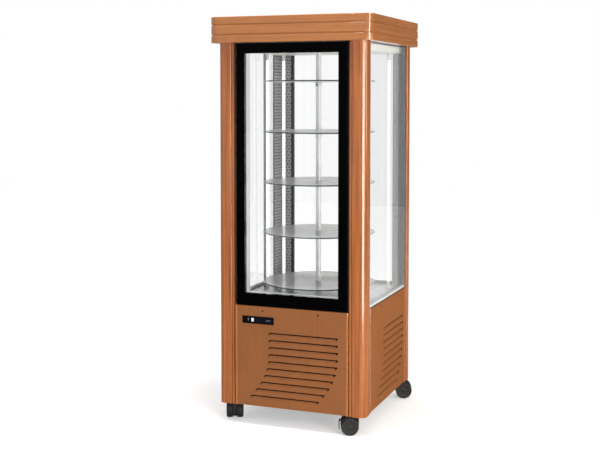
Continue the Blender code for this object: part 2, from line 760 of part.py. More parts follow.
def glazing():
    """Double-glazed units at the left, right and rear: two panes on a spacer with a breather hole."""
    for name, opening, face, turn in (
        ("right_glass", OPENING_Y, HALF_X, 90), ("left_glass", OPENING_Y, HALF_X, -90),
        ("rear_glass", OPENING_X, HALF_Y, 180),
    ):
        half = opening - SEAT
        outer = GLASS_SET - face
        inner = GLASS_DEPTH - face
        unit = block((-half, outer, GLASS_BOTTOM), (half, inner, GLASS_TOP))
        space = block(
            (SPACER - half, outer + PANE, GLASS_BOTTOM + SPACER),
            (half - SPACER, inner - PANE, GLASS_TOP - SPACER),
        )
        middle = (outer + inner) / 2
        start = (0, middle, GLASS_TOP - SPACER - OVERRUN)
        breather = rod("Z", start, GLASS_TOP + OVERRUN, BREATHER_RADIUS, BREATHER_STEPS)
        keep(cut(unit, space, breather), name, GLASS, pivot(f"{name}_side", (0, 0, 0), math.radians(turn)))


def air_ducts():
    """Slotted steel linings in the rear corners, where the cold air comes in."""
    bottom = TRAY_TOP + SEAT
    top = CEILING_BOTTOM - SEAT
    near_x = DUCT_X - DUCT_SHEET
    near_y = DUCT_Y - DUCT_SHEET
    front = DUCT_Y - DUCT_SIDE_LEG
    end = DUCT_X - DUCT_REAR_LEG
    for name, side in (("duct_rear_left", -1), ("duct_rear_right", 1)):
        section = [
            (DUCT_X, front), (DUCT_X, DUCT_Y), (end, DUCT_Y), (end, near_y),
            (near_x, near_y), (near_x, front),
        ]
        sheet = outline("Z", bottom, top, [(side * u, v) for u, v in section])
        slots = []
        for i in range(DUCT_SLOT_COUNT):
            low = (bottom + top) / 2 + (i - (DUCT_SLOT_COUNT - 1) / 2) * DUCT_SLOT_PITCH
            low -= DUCT_SLOT_HEIGHT / 2
            high = low + DUCT_SLOT_HEIGHT
            middle = (front + DUCT_Y) / 2
            reach = sorted((side * (near_x - OVERRUN), side * (DUCT_X + OVERRUN)))
            slots.append(block(
                (reach[0], middle - DUCT_SLOT / 2, low), (reach[1], middle + DUCT_SLOT / 2, high)
            ))
            middle = side * (end + DUCT_X) / 2
            slots.append(block(
                (middle - DUCT_SLOT / 2, near_y - OVERRUN, low),
                (middle + DUCT_SLOT / 2, DUCT_Y + OVERRUN, high),
            ))
        keep(cut(sheet, group(slots)), name, STEEL)


def lamps():
    """Three upright lamps: each a tube between a holder on the floor and one at the ceiling,
    the one at the left wall on a rail."""
    low = TRAY_TOP + SEAT
    high = CEILING_BOTTOM - SEAT
    for name, x, y in (
        ("lamp_rear_left", -CORNER_LAMP_X, CORNER_LAMP_Y),
        ("lamp_rear_right", CORNER_LAMP_X, CORNER_LAMP_Y),
        ("lamp_left_wall", WALL_LAMP_X, WALL_LAMP_Y),
    ):
        foot = low + LAMP_HOLDER
        head = high - LAMP_HOLDER
        tube = rod("Z", (x, y, foot - OVERRUN), head + OVERRUN, LAMP_RADIUS, LAMP_STEPS)
        join(tube, rod("Z", (x, y, low), foot, LAMP_HOLDER_RADIUS, LAMP_STEPS))
        join(tube, rod("Z", (x, y, head), high, LAMP_HOLDER_RADIUS, LAMP_STEPS))
        if x == WALL_LAMP_X:
            half = WALL_LAMP_RAIL_WIDTH / 2
            face = x - LAMP_RADIUS
            join(tube, block((face - WALL_LAMP_RAIL, y - half, low), (face, y + half, high)))
        keep(tube, name, LAMP)


def jamb():
    """The light grey frame that the closed door's gasket meets."""
    loops = (
        rectangle(-PAN_X, PAN_X, TRAY_TOP + SEAT, CEILING_TOP),
        rectangle(JAMB_OPEN_LEFT, JAMB_OPEN_RIGHT, JAMB_OPEN_BOTTOM, JAMB_OPEN_TOP),
    )
    keep(outline("Y", JAMB_FRONT, JAMB_FRONT + JAMB_DEPTH, *loops), "door_jamb", GREY)


def door():
    """The hinged door: two panes, the frame between them and the gasket behind it."""
    hinge = pivot("door_hinge", (HINGE_X, HINGE_Y, 0))

    def hung(solid, name, surface):
        for helper in helpers(solid):
            helper.matrix_basis = Matrix.Translation((-HINGE_X, -HINGE_Y, 0)) @ helper.matrix_basis
        keep(solid, name, surface, hinge)

    pane = block((DOOR_LEFT, -DOOR_FACE, DOOR_BOTTOM), (DOOR_RIGHT, PANE - DOOR_FACE, DOOR_TOP))
    hung(pane, "door_outer_pane", GLASS)
    left = DOOR_LEFT + DOOR_FRAME_INSET
    right = DOOR_RIGHT - DOOR_FRAME_INSET
    bottom = DOOR_BOTTOM + DOOR_FRAME_INSET
    top = DOOR_TOP - DOOR_FRAME_INSET
    clear = rectangle(CLEAR_LEFT, CLEAR_RIGHT, CLEAR_BOTTOM, CLEAR_TOP)
    frame = outline(
        "Y", DOOR_FRAME_FRONT, DOOR_FRAME_BACK, rectangle(left, right, bottom, top), clear
    )
    radius = PIN_RADIUS + PIN_CLEARANCE
    deep = PIN_REACH + PIN_CLEARANCE
    low = rod("Z", (HINGE_X, HINGE_Y, bottom - OVERRUN), DOOR_BOTTOM + deep, radius, PIN_STEPS)
    high = rod("Z", (HINGE_X, HINGE_Y, DOOR_TOP - deep), top + OVERRUN, radius, PIN_STEPS)
    hung(cut(frame, low, high), "door_frame", BLACK)
    back = DOOR_FRAME_BACK + SEAT
    lap = INNER_PANE_LAP
    corner = (CLEAR_LEFT - lap, back, CLEAR_BOTTOM - lap)
    inner = block(corner, (CLEAR_RIGHT + lap, back + PANE, CLEAR_TOP + lap))
    hung(inner, "door_inner_pane", GLASS)
    inset = GASKET_INSET
    wide = GASKET_INSET + GASKET_WIDTH
    gasket = outline(
        "Y", back, back + GASKET_DEPTH,
        rectangle(left + inset, right - inset, bottom + inset, top - inset),
        rectangle(left + wide, right - wide, bottom + wide, top - wide),
    )
    hung(gasket, "door_gasket", SEAL)


def hinge_brackets():
    """A plate and pin under the door and another over it, on the front right post."""
    right = OPENING_X - SEAT
    front = HINGE_Y - BRACKET_DEPTH / 2
    for name, plate, end in (
        ("hinge_bracket_lower", PANEL_TOP + SEAT, DOOR_BOTTOM + PIN_REACH),
        ("hinge_bracket_upper", CROWN_Z + SEAT, DOOR_TOP - PIN_REACH),
    ):
        sheet = block(
            (right - BRACKET_LENGTH, front, plate), (right, front + BRACKET_DEPTH, plate + BRACKET_SHEET)
        )
        middle = plate + BRACKET_SHEET / 2
        low, high = sorted((middle, end))
        keep(join(sheet, rod("Z", (HINGE_X, HINGE_Y, low), high, PIN_RADIUS, PIN_STEPS)), name, ZINC)


def carousel():
    """The turning shaft with a hub under each of its glass shelves."""
    axis = pivot("carousel_axis", (0, 0, 0))
    foot = INSULATION_BOTTOM + SEAT
    shaft = rod("Z", (0, 0, foot), CEILING_TOP - SHAFT_END, SHAFT_RADIUS, SHAFT_STEPS)
    for i in range(SHELF_COUNT):
        under = SHELF_FIRST + i * SHELF_PITCH
        shelf = rod("Z", (0, 0, under), under + SHELF, SHELF_RADIUS, SHELF_STEPS)
        hole = rod("Z", (0, 0, under - OVERRUN), under + SHELF + OVERRUN, SHAFT_RADIUS + SEAT, SHAFT_STEPS)
        keep(cut(shelf, hole), f"shelf_{i + 1}", GLASS, axis)
        top = under - SEAT
        join(shaft, rod("Z", (0, 0, top - HUB_FLANGE), top, HUB_FLANGE_RADIUS, HUB_STEPS))
        join(shaft, rod("Z", (0, 0, top - HUB_HEIGHT), top - HUB_FLANGE / 2, HUB_RADIUS, HUB_STEPS))
    keep(shaft, "carousel_shaft", STEEL, axis)


def control_strip():
    """The bezel in the front panel, its window, and the rocker switch on its pivot."""
    face = PANEL_SET - HALF_Y - SEAT
    front = face - DISPLAY_PROUD
    bezel = block((DISPLAY_LEFT, front, DISPLAY_BOTTOM), (DISPLAY_RIGHT, face, DISPLAY_TOP))
    near = DISPLAY_LIP + SEAT
    body = block(
        (DISPLAY_LEFT + near, front + DISPLAY_PROUD / 2, DISPLAY_BOTTOM + near),
        (DISPLAY_RIGHT - near, face + DISPLAY_BODY, DISPLAY_TOP - near),
    )
    middle = (DISPLAY_BOTTOM + DISPLAY_TOP) / 2
    half = SCREEN_HEIGHT / 2
    window = block(
        (SCREEN_LEFT, front - OVERRUN, middle - half), (SCREEN_RIGHT, front + SCREEN_DEPTH, middle + half)
    )
    wide = ROCKER_WIDTH / 2 + ROCKER_GAP
    tall = ROCKER_RADIUS + ROCKER_GAP
    deep = front - ROCKER_PROUD + ROCKER_RADIUS + ROCKER_GAP
    slot = block(
        (ROCKER_X - wide, front - OVERRUN, middle - tall), (ROCKER_X + wide, deep, middle + tall)
    )
    keep(cut(join(bezel, body), window, slot), "display_bezel", BLACK)
    inner = half - SEAT
    glass = block(
        (SCREEN_LEFT + SEAT, front, middle - inner),
        (SCREEN_RIGHT - SEAT, front + SCREEN_DEPTH - SEAT, middle + inner),
    )
    keep(glass, "display_window", SCREEN)
    rocker = pivot("rocker_pivot", (ROCKER_X, front - ROCKER_PROUD, middle))
    back = arc((0, 0), ROCKER_RADIUS, ROCKER_TILT, math.pi - ROCKER_TILT, ROCKER_STEPS)
    section = [(v, u) for u, v in back]
    crease = (-ROCKER_PROUD, 0)
    turn = Matrix.Rotation(ROCKER_TILT, 4, "X")
    solid = outline("X", -ROCKER_WIDTH / 2, ROCKER_WIDTH / 2, [*section, crease], smooth=True)
    solid.matrix_basis = turn
    keep(solid, "rocker_switch", WHITE, rocker)


def finned_coil(low, high):
    """A heat exchanger: a block with deep slots between its fins on the side that faces +Y."""
    coil = block(low, high)
    pitch = (high[0] - low[0]) / (2 * FIN_COUNT + 1)
    slots = []
    for i in range(FIN_COUNT):
        left = low[0] + (2 * i + 1) * pitch
        depth = (high[1] - low[1]) * FIN_CUT_SHARE
        far = (left + pitch, high[1] + OVERRUN, high[2] - FIN)
        slots.append(block((left, high[1] - depth, low[2] + FIN), far))
    return cut(coil, group(slots))


def fan(name, centre, radius):
    """A fan with pitched blades whose shaft lies along Y."""
    axis = pivot(name + "_axis", centre)
    half = FAN_DEPTH / 2
    chord = 2 * (half - FAN_BLADE) / math.sin(FAN_PITCH)
    hub = rod("Y", (0, -half, 0), half, FAN_HUB_RADIUS, MOTOR_STEPS)
    for i in range(FAN_BLADES):
        blade = block(
            (FAN_HUB_RADIUS / 2, -FAN_BLADE / 2, -chord / 2), (radius, FAN_BLADE / 2, chord / 2)
        )
        spin = Matrix.Rotation(i * 2 * math.pi / FAN_BLADES, 4, "Y")
        blade.matrix_basis = spin @ Matrix.Rotation(FAN_PITCH, 4, "X")
        join(hub, blade)
    keep(hub, name, CASTOR, axis)


def motor(centre, end):
    """A fan motor with the strut that carries it, down to the pan or up to the floor."""
    x, y, z = centre
    barrel = rod("Y", (x, y, z), y + MOTOR_LENGTH, MOTOR_RADIUS, MOTOR_STEPS)
    low, high = sorted((end, z))
    middle = y + MOTOR_LENGTH / 2
    half = STRUT / 2
    return join(barrel, block((x - half, middle - half, low), (x + half, middle + half, high)))


def machinery():
    """The refrigerating machinery and the carousel's drive, below the insulated floor."""
    floor = PAN_TOP + SEAT
    roof = INSULATION_BOTTOM - SEAT
    foot = COMPRESSOR_FOOT / 2
    plate = block(
        (COMPRESSOR_X - foot, COMPRESSOR_Y - foot, floor),
        (COMPRESSOR_X + foot, COMPRESSOR_Y + foot, floor + COMPRESSOR_FOOT_SHEET),
    )
    top = floor + COMPRESSOR_HEIGHT
    shoulder = top - COMPRESSOR_DOME
    place = (COMPRESSOR_X, COMPRESSOR_Y, floor + COMPRESSOR_FOOT_SHEET / 2)
    drum = rod("Z", place, shoulder, COMPRESSOR_RADIUS, COMPRESSOR_STEPS)
    dome = rod(
        "Z", (COMPRESSOR_X, COMPRESSOR_Y, shoulder - SEAT), top, COMPRESSOR_RADIUS - SEAT,
        COMPRESSOR_STEPS, COMPRESSOR_NECK - COMPRESSOR_DOME,
    )
    keep(join(plate, drum, dome), "compressor", MACHINE)
    wide = COIL_WIDTH / 2
    back = COIL_FRONT + COIL_DEPTH
    coil = finned_coil((COIL_X - wide, COIL_FRONT, floor), (COIL_X + wide, back, floor + COIL_HEIGHT))
    keep(coil, "condenser", ZINC)
    middle = floor + COIL_HEIGHT / 2
    fan_y = back + FAN_GAP + FAN_DEPTH / 2
    fan("condenser_fan", (COIL_X, fan_y, middle), CONDENSER_FAN_RADIUS)
    keep(motor((COIL_X, fan_y + FAN_DEPTH / 2 + SEAT, middle), floor), "condenser_motor", MACHINE)
    wide = EVAPORATOR_WIDTH / 2
    coil = finned_coil(
        (EVAPORATOR_X - wide, EVAPORATOR_Y, roof - EVAPORATOR_HEIGHT),
        (EVAPORATOR_X + wide, EVAPORATOR_Y + EVAPORATOR_DEPTH, roof),
    )
    keep(coil, "evaporator", ZINC)
    middle = roof - EVAPORATOR_HEIGHT / 2
    fan_y = EVAPORATOR_Y - FAN_GAP - FAN_DEPTH / 2
    fan("evaporator_fan", (EVAPORATOR_X, fan_y, middle), EVAPORATOR_FAN_RADIUS)
    start = fan_y - FAN_DEPTH / 2 - SEAT - MOTOR_LENGTH
    keep(motor((EVAPORATOR_X, start, middle), roof), "evaporator_motor", MACHINE)
    half = GEARBOX_HALF
    gearbox = rounded(block((-half, -half, roof - GEARBOX_HEIGHT), (half, half, roof)), FAN_BLADE, 2)
    keep(gearbox, "drive_gearmotor", MACHINE)


def wheel_profile():
    """Half of a twin wheel and its axle from the outer face inwards, as (radius, height)."""
    outer = WHEEL_GAP / 2 + WHEEL_WIDTH
    inner = WHEEL_GAP / 2
    rim = WHEEL_RADIUS - WHEEL_RIM
    return [
        (0, outer), (WHEEL_RIM, outer), (WHEEL_RIM, outer - WHEEL_DISH), (rim, outer - WHEEL_DISH),
        (rim, outer), (WHEEL_RADIUS - WHEEL_EDGE, outer), (WHEEL_RADIUS, outer - WHEEL_EDGE),
        (WHEEL_RADIUS, inner + WHEEL_EDGE), (WHEEL_RADIUS - WHEEL_EDGE, inner), (AXLE_RADIUS, inner),
    ]


def castor(place, side_x, side_y, turn, braked):
    """A castor: its hood swivels on a stem, its wheels turn on their axle in the hood, and a
    braked one has a pedal. In its own frame it trails towards +Y, with the axle along X."""
    x = side_x * (HALF_X - CASTOR_INSET)
    y = side_y * (HALF_Y - CASTOR_INSET)
    axle_z = WHEEL_RADIUS * math.cos(math.pi / WHEEL_STEPS)
    swivel = pivot(f"castor_{place}_stem", (x, y, 0), turn + CASTOR_TURN)
    hood = outline(
        "X", -WHEEL_GAP / 2 - WHEEL_WIDTH, WHEEL_GAP / 2 + WHEEL_WIDTH,
        [(CASTOR_TRAIL + u, axle_z + v) for u, v in
         arc((0, 0), HOOD_RADIUS, HOOD_START, HOOD_END, HOOD_STEPS)
         + arc((0, 0), WHEEL_RADIUS + HOOD_CLEARANCE, HOOD_END, HOOD_START, HOOD_STEPS)],
        smooth=True,
    )
    web = WHEEL_GAP / 2 - WEB_CLEARANCE
    plate_z = BASE_Z - SEAT - CASTOR_PLATE_SHEET
    top = plate_z - SEAT
    radius = HOOD_RADIUS - HOOD_CLEARANCE / 2
    rib = arc((CASTOR_TRAIL, axle_z), radius, HOOD_START + RIB_INSET, HOOD_END - RIB_INSET, HOOD_STEPS)
    rib_half = web - SEAT
    join(hood, outline("X", -rib_half, rib_half, [*rib, (CASTOR_TRAIL, axle_z)]))
    join(hood, rod("X", (-web, CASTOR_TRAIL, axle_z), web, WEB_RADIUS, SWIVEL_STEPS))
    neck_half = rib_half - SEAT
    neck = block((-neck_half, -neck_half, axle_z), (neck_half, CASTOR_TRAIL, top - SWIVEL_HEIGHT / 2))
    join(hood, neck, rod("Z", (0, 0, top - SWIVEL_HEIGHT), top, SWIVEL_RADIUS, SWIVEL_STEPS))
    pedal_y = CASTOR_TRAIL + WHEEL_RADIUS + PEDAL_GAP
    if braked:
        low = (-neck_half, CASTOR_TRAIL + WEB_RADIUS / 2, PEDAL_TOP - PEDAL_BARREL)
        join(hood, block(low, (neck_half, pedal_y - SEAT, PEDAL_TOP + PEDAL_BARREL / 2)))
    bore = AXLE_RADIUS + AXLE_CLEARANCE
    cut(hood, rod("X", (-web - OVERRUN, CASTOR_TRAIL, axle_z), web + OVERRUN, bore, SWIVEL_STEPS))
    keep(hood, f"castor_hood_{place}", CASTOR, swivel)
    axle = pivot(f"castor_{place}_axle", (0, CASTOR_TRAIL, axle_z), 0, swivel)
    half = wheel_profile()
    profile = half + [(radius, -height) for radius, height in reversed(half)]
    keep(turned("X", (0, 0, 0), profile, WHEEL_STEPS), f"castor_wheels_{place}", CASTOR, axle)
    if braked:
        pedal(place, pedal_y, swivel)


def pedal(place, near, swivel):
    """A brake pedal: a plate that hangs from its barrel behind the wheels."""
    hinge = pivot(f"castor_{place}_pedal_hinge", (0, near + PEDAL_BARREL, PEDAL_TOP), 0, swivel)
    half = PEDAL_WIDTH / 2
    barrel = rod("X", (-half, 0, 0), half, PEDAL_BARREL, PIN_STEPS)
    plate = block(
        (-half, PEDAL_BARREL - PEDAL_SHEET, PEDAL_BOTTOM - PEDAL_TOP), (half, PEDAL_BARREL, 0)
    )
    keep(join(barrel, plate), f"brake_pedal_{place}", CASTOR, hinge)


def castors():
    """Four castors under the base pan."""
    for place, side_x, side_y, turn, braked in CASTORS:
        castor(place, side_x, side_y, turn, braked)


posts()
crown()
top_frame()
base()
panels()
power_inlet()
glazing()
air_ducts()
lamps()
jamb()
door()
hinge_brackets()
carousel()
control_strip()
machinery()
castors()
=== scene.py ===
"""Looks of the cake display case: finishes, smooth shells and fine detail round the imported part.

Every shape is a grid of points worked out with numpy: rings of points that follow a formula, joined
into a skin by loft(). Lengths are in metres. Places come from the frame's boxes where a solid gives
them, and are named values where only scene.py shows the piece.
"""

import json
import math

import bmesh
import bpy
import numpy as np
from mathutils import Matrix, Vector


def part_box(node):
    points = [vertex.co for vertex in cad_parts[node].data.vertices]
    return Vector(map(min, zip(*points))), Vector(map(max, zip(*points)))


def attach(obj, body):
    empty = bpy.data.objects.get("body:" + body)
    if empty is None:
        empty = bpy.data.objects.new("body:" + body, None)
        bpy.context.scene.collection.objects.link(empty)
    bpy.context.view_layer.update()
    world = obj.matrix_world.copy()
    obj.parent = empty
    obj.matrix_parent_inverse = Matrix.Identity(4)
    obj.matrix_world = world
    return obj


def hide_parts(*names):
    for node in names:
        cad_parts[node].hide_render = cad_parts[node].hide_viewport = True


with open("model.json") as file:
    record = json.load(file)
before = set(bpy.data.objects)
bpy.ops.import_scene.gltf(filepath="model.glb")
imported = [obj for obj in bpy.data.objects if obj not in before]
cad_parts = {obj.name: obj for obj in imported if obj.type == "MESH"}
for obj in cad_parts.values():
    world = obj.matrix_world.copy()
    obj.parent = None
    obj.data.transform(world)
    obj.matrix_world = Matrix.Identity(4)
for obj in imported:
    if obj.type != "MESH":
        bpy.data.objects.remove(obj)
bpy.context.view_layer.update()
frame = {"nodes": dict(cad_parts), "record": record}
NODES = frame["nodes"]

# Camera, fitted to the photograph's edges
CAMERA_PLACE = (1.7453, -4.7536, 1.5024)
CAMERA_YAW = math.radians(21.16)
CAMERA_PITCH = math.radians(-3.015)
FOCAL_PIXELS = 1067.77
PICTURE_WIDTH = 600
CENTRE_RISE = 74.34      # pixels that the optical axis lies above the picture's middle
SENSOR = 36.0

# The case's own sizes, from its solids
POST_LOW, POST_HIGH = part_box("post_front_right")
CROWN_LOW, CROWN_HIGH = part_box("crown_fascia")
HALF_X = POST_HIGH.x
HALF_Y = -POST_LOW.y
CROWN_X = CROWN_HIGH.x
CROWN_Y = CROWN_HIGH.y
POST_LEG = POST_HIGH.x - POST_LOW.x
PANELS = (               # (name, axis along the panel, side of the case)
    ("front_panel", 0, -1), ("rear_panel", 0, 1), ("left_panel", 1, -1), ("right_panel", 1, 1),
)
SEAT = 0.0003
SMOOTH = math.radians(32)

# Mesh tools

INWARDS = np.array([1, -1, 1, -1])     # moves the sides of a (left, right, bottom, top)


def scene_object(name, data):
    """A new object in the scene."""
    piece = bpy.data.objects.new(name, data)
    bpy.context.scene.collection.objects.link(piece)
    return piece


def mesh_object(name, points, faces, smooth=True):
    """An object at the origin from an array of points and a list of faces."""
    mesh = bpy.data.meshes.new(name)
    mesh.from_pydata(np.asarray(points, float).reshape(-1, 3).tolist(), [], faces)
    mesh.validate()
    mesh.update()
    piece = scene_object(name, mesh)
    outwards(piece)
    if smooth:
        even_shading(piece)
    return piece


def even_shading(piece):
    """Smooth shading whose normals follow the larger faces, so that flat faces stay flat."""
    piece.data.shade_smooth()
    piece.data.set_sharp_from_angle(angle=SMOOTH)
    weighted = piece.modifiers.new("Even shading", "WEIGHTED_NORMAL")
    weighted.keep_sharp = True


def outwards(piece):
    """Merge a closed skin's doubles and turn its faces outwards."""
    shape = bmesh.new()
    shape.from_mesh(piece.data)
    bmesh.ops.remove_doubles(shape, verts=shape.verts, dist=1e-6)
    bmesh.ops.recalc_face_normals(shape, faces=shape.faces)
    shape.to_mesh(piece.data)
    shape.free()


def loft_faces(rows, columns, closed):
    """Quads between the rings of a grid, numbered row by row."""
    row = np.arange(rows if closed else rows - 1)[:, None]
    column = np.arange(columns)[None, :]
    after = (column + 1) % columns
    here, below = row * columns, (row + 1) % rows * columns
    quads = np.stack([here + column, here + after, below + after, below + column], -1)
    return quads.reshape(-1, 4).tolist()


def loft(name, rings, ring_closed=False, smooth=True):
    """A skin over rings[i, j], an array of rings of points. Each ring is a closed loop. Where the
    rings don't close on themselves, the first and the last are capped with one flat face each."""
    rings = np.asarray(rings, float)
    rows, columns = rings.shape[:2]
    faces = loft_faces(rows, columns, ring_closed)
    if not ring_closed:
        faces.append(list(range(columns))[::-1])
        faces.append(list(range((rows - 1) * columns, rows * columns)))
    return mesh_object(name, rings, faces, smooth)


def joined(name, pieces, smooth=True):
    """Several meshes as one piece, such as a set of screws."""
    shape = bmesh.new()
    for piece in pieces:
        shape.from_mesh(piece.data)
        bpy.data.objects.remove(piece)
    mesh = bpy.data.meshes.new(name)
    shape.to_mesh(mesh)
    shape.free()
    result = scene_object(name, mesh)
    if smooth:
        even_shading(result)
    return result


def placed(loop, axis, height):
    """Points (u, v) of a flat loop at a height along an axis. The loop's own coordinates are
    X, Y for Z; X, Z for Y; and Y, Z for X."""
    return np.insert(np.asarray(loop, float), "XYZ".index(axis), height, axis=1)


def arc(centre, radius, start, end, steps):
    """Points of an arc, centre + radius * (cos a, sin a), with a from start to end."""
    angle = np.linspace(start, end, steps + 1)
    return np.stack([centre[0] + radius * np.cos(angle), centre[1] + radius * np.sin(angle)], -1)


def round_rectangle(left, right, bottom, top, radius, steps=5):
    """A rectangle whose corners are quarter circles, counter-clockwise from the lower right."""
    quarter = math.pi / 2
    west, east, south, north = left + radius, right - radius, bottom + radius, top - radius
    centres = (east, south), (east, north), (west, north), (west, south)
    return np.concatenate([
        arc(centre, radius, (turn - 1) * quarter, turn * quarter, steps)
        for turn, centre in enumerate(centres)
    ])


def eased(edge, steps=5):
    """A quarter circle as steps (in, up): edge * (1 - sin a) and edge * (1 - cos a)."""
    turn = np.linspace(0, math.pi / 2, steps)
    return [(edge * (1 - math.sin(a)), edge * (1 - math.cos(a))) for a in turn]


def mirrored(profile, total=0.0):
    """A profile of (radius, height), and then its mirror image, whose heights are total - height."""
    return profile + [(radius, total - height) for radius, height in profile[::-1]]


def slab(name, axis, low, high, corner, edge, steps=4, smooth=True):
    """A block with round corners round its axis and rounded edges at both ends: rings of a round
    rectangle, whose insets and heights at the ends follow eased()."""
    along = "XYZ".index(axis)
    u, v = [i for i in range(3) if i != along]
    low, high = np.array(low, float), np.array(high, float)
    start = [(inset, low[along] + rise) for inset, rise in eased(edge, steps)]
    rings = []
    for inset, height in mirrored(start, low[along] + high[along]):
        loop = round_rectangle(
            low[u] + inset, high[u] - inset, low[v] + inset, high[v] - inset, max(corner - inset, edge / 8)
        )
        rings.append(placed(loop, axis, height))
    return loft(name, rings, smooth=smooth)


def turned(name, axis, centre, profile, steps=48, ring_closed=False):
    """A profile of (radius, height) turned round an axis through a centre: rings of points
    (radius * cos a, radius * sin a)."""
    angle = np.arange(steps) * 2 * math.pi / steps
    unit = np.stack([np.cos(angle), np.sin(angle)], -1)
    rings = [placed(radius * unit, axis, height) + np.array(centre, float) for radius, height in profile]
    return loft(name, rings, ring_closed)


def ride(piece, body, slot, *nodes):
    """Put a piece on a body, and hide the solids that it stands for. Its finish slot is not used."""
    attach(piece, body)
    if nodes:
        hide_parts(*nodes)
    return piece


def dress(piece, *finishes):
    """Give a piece its materials, one for each material index that its faces have."""
    indices = np.zeros(len(piece.data.polygons), np.int32)
    piece.data.polygons.foreach_get("material_index", indices)
    piece.data.materials.clear()
    for material in finishes:
        piece.data.materials.append(material)
    kept = np.minimum(indices, len(finishes) - 1).astype(np.int32)
    piece.data.polygons.foreach_set("material_index", kept)
    return piece


def second_finish(piece, chosen):
    """Give the chosen faces, a true or false for each, the second of a piece's finishes."""
    piece.data.polygons.foreach_set("material_index", np.asarray(chosen).astype(np.int32))


# Materials

CLEAR_LOW = (-0.225, 0.604)     # the door's clear opening inside its black border
CLEAR_HIGH = (0.2235, 1.686)
UPRIGHT = (700.0, 700.0, 16.0)  # grain in cells per metre, long upwards
LEVEL = (14.0, 14.0, 900.0)     # long round the case
EVEN = (900.0, 900.0, 900.0)
FILM_GRAIN = (40.0, 40.0, 40.0)
CLEAR = ((0.998, 1.0, 0.999), 0.0, 1.09)     # a clear glass's tint, roughness and bending
GLASS_SHADE_SHARE = 0.994       # how dark the film makes a glass's tint
FILM_SHARE = 0.08               # how much of the wear's roughness shows on glass
RELIEF = 0.0005                 # height of the grain where its bump is 1
STREAK_SHARE = 0.13             # scale of the broad streaks beside that of the fine grain


class Nodes:
    """Short calls for building one node tree."""

    def __init__(self, tree):
        self.tree = tree

    def add(self, kind, **settings):
        """A new node of a kind, with its settings."""
        node = self.tree.nodes.new(kind)
        for key, value in settings.items():
            setattr(node, key, value)
        return node

    def link(self, source, target):
        """Link an output socket to an input socket."""
        self.tree.links.new(source, target)

    def value(self, target, source):
        """Set a socket to a number or colour, or link it."""
        if isinstance(source, bpy.types.NodeSocket):
            self.link(source, target)
        else:
            target.default_value = source

    def fill(self, node, **values):
        """Set or link a node's inputs by name, an underscore for each space. Gives its outputs."""
        for name, value in values.items():
            self.value(node.inputs[name.replace("_", " ")], value)
        return node.outputs

    def maths(self, operation, first, second=0.0, third=0.0):
        """The result of one operation on numbers or sockets."""
        node = self.add("ShaderNodeMath", operation=operation)
        for place, source in enumerate((first, second, third)):
            self.value(node.inputs[place], source)
        return node.outputs[0]

    def spread(self, value, low, high, to_low=0.0, to_high=1.0):
        """A value's range from low to high, eased onto the range from to_low to to_high."""
        node = self.add("ShaderNodeMapRange", interpolation_type="SMOOTHSTEP")
        for socket, source in zip(node.inputs[:5], (value, low, high, to_low, to_high)):
            self.value(socket, source)
        return node.outputs[0]

    def mix(self, share, first, second):
        """The first colour, and the second one as far as the share says."""
        node = self.add("ShaderNodeMix", data_type="RGBA")
        self.value(node.inputs[0], share)
        self.value(node.inputs[6], first)
        self.value(node.inputs[7], second)
        return node.outputs[2]

    def in_front(self, other, share):
        """Mix another surface into the one that the material shows, as far as the share says."""
        shown = self.tree.nodes["Material Output"].inputs["Surface"]
        mixed = self.add("ShaderNodeMixShader")
        for place, source in enumerate((share, shown.links[0].from_socket, other)):
            self.value(mixed.inputs[place], source)
        self.link(mixed.outputs[0], shown)

    def noise(self, place, scale, detail=3.0, roughness=0.5):
        """Soft noise round 0.5 at a place."""
        node = self.add("ShaderNodeTexNoise")
        return self.fill(node, Vector=place, Scale=scale, Detail=detail, Roughness=roughness)["Fac"]


def effect(name, inputs, outputs):
    """A node group with named sockets: (socket name, kind, default) in and (name, kind) out."""
    tree = bpy.data.node_groups.new(name, "ShaderNodeTree")
    for socket, kind, default in inputs:
        made = tree.interface.new_socket(socket, in_out="INPUT", socket_type="NodeSocket" + kind)
        if default is not None:
            made.default_value = default
    for socket, kind in outputs:
        tree.interface.new_socket(socket, in_out="OUTPUT", socket_type="NodeSocket" + kind)
    nodes = Nodes(tree)
    return tree, nodes, nodes.add("NodeGroupInput").outputs, nodes.add("NodeGroupOutput").inputs


def wear_group():
    """Fine grain, streaks and broad unevenness: a tint factor, a roughness offset and a bump height.
    Grain Scale is per axis in cells per metre, so that one axis can run long like brushing."""
    tree, nodes, given, result = effect(
        "Surface Wear",
        [("Grain Scale", "Vector", EVEN), ("Grain", "Float", 0.5),
         ("Blotches", "Float", 0.5), ("Streaks", "Float", 0.0)],
        [("Tint", "Float"), ("Roughness", "Float"), ("Height", "Float")],
    )
    place = nodes.add("ShaderNodeTexCoord").outputs["Object"]
    scaled = nodes.add("ShaderNodeVectorMath", operation="MULTIPLY")
    nodes.link(place, scaled.inputs[0])
    nodes.link(given["Grain Scale"], scaled.inputs[1])
    grain = nodes.noise(scaled.outputs[0], 1.0, 2.0)
    noises = (grain, nodes.noise(place, 7.0, 3.0, 0.55), nodes.noise(scaled.outputs[0], STREAK_SHARE, 1.0))
    offsets = [nodes.maths("SUBTRACT", noise, 0.5) for noise in noises]
    tint = 0.0
    for offset, amount in zip(offsets, ("Grain", "Blotches", "Streaks")):
        tint = nodes.maths("ADD", tint, nodes.maths("MULTIPLY", offset, given[amount]))
    nodes.link(nodes.maths("ADD", tint, 0.5), result["Tint"])
    rough = nodes.maths("MULTIPLY", offsets[1], 0.25)
    rough = nodes.maths("ADD", rough, nodes.maths("MULTIPLY", offsets[0], 0.12))
    nodes.link(rough, result["Roughness"])
    nodes.link(grain, result["Height"])
    return tree


WEAR = wear_group()


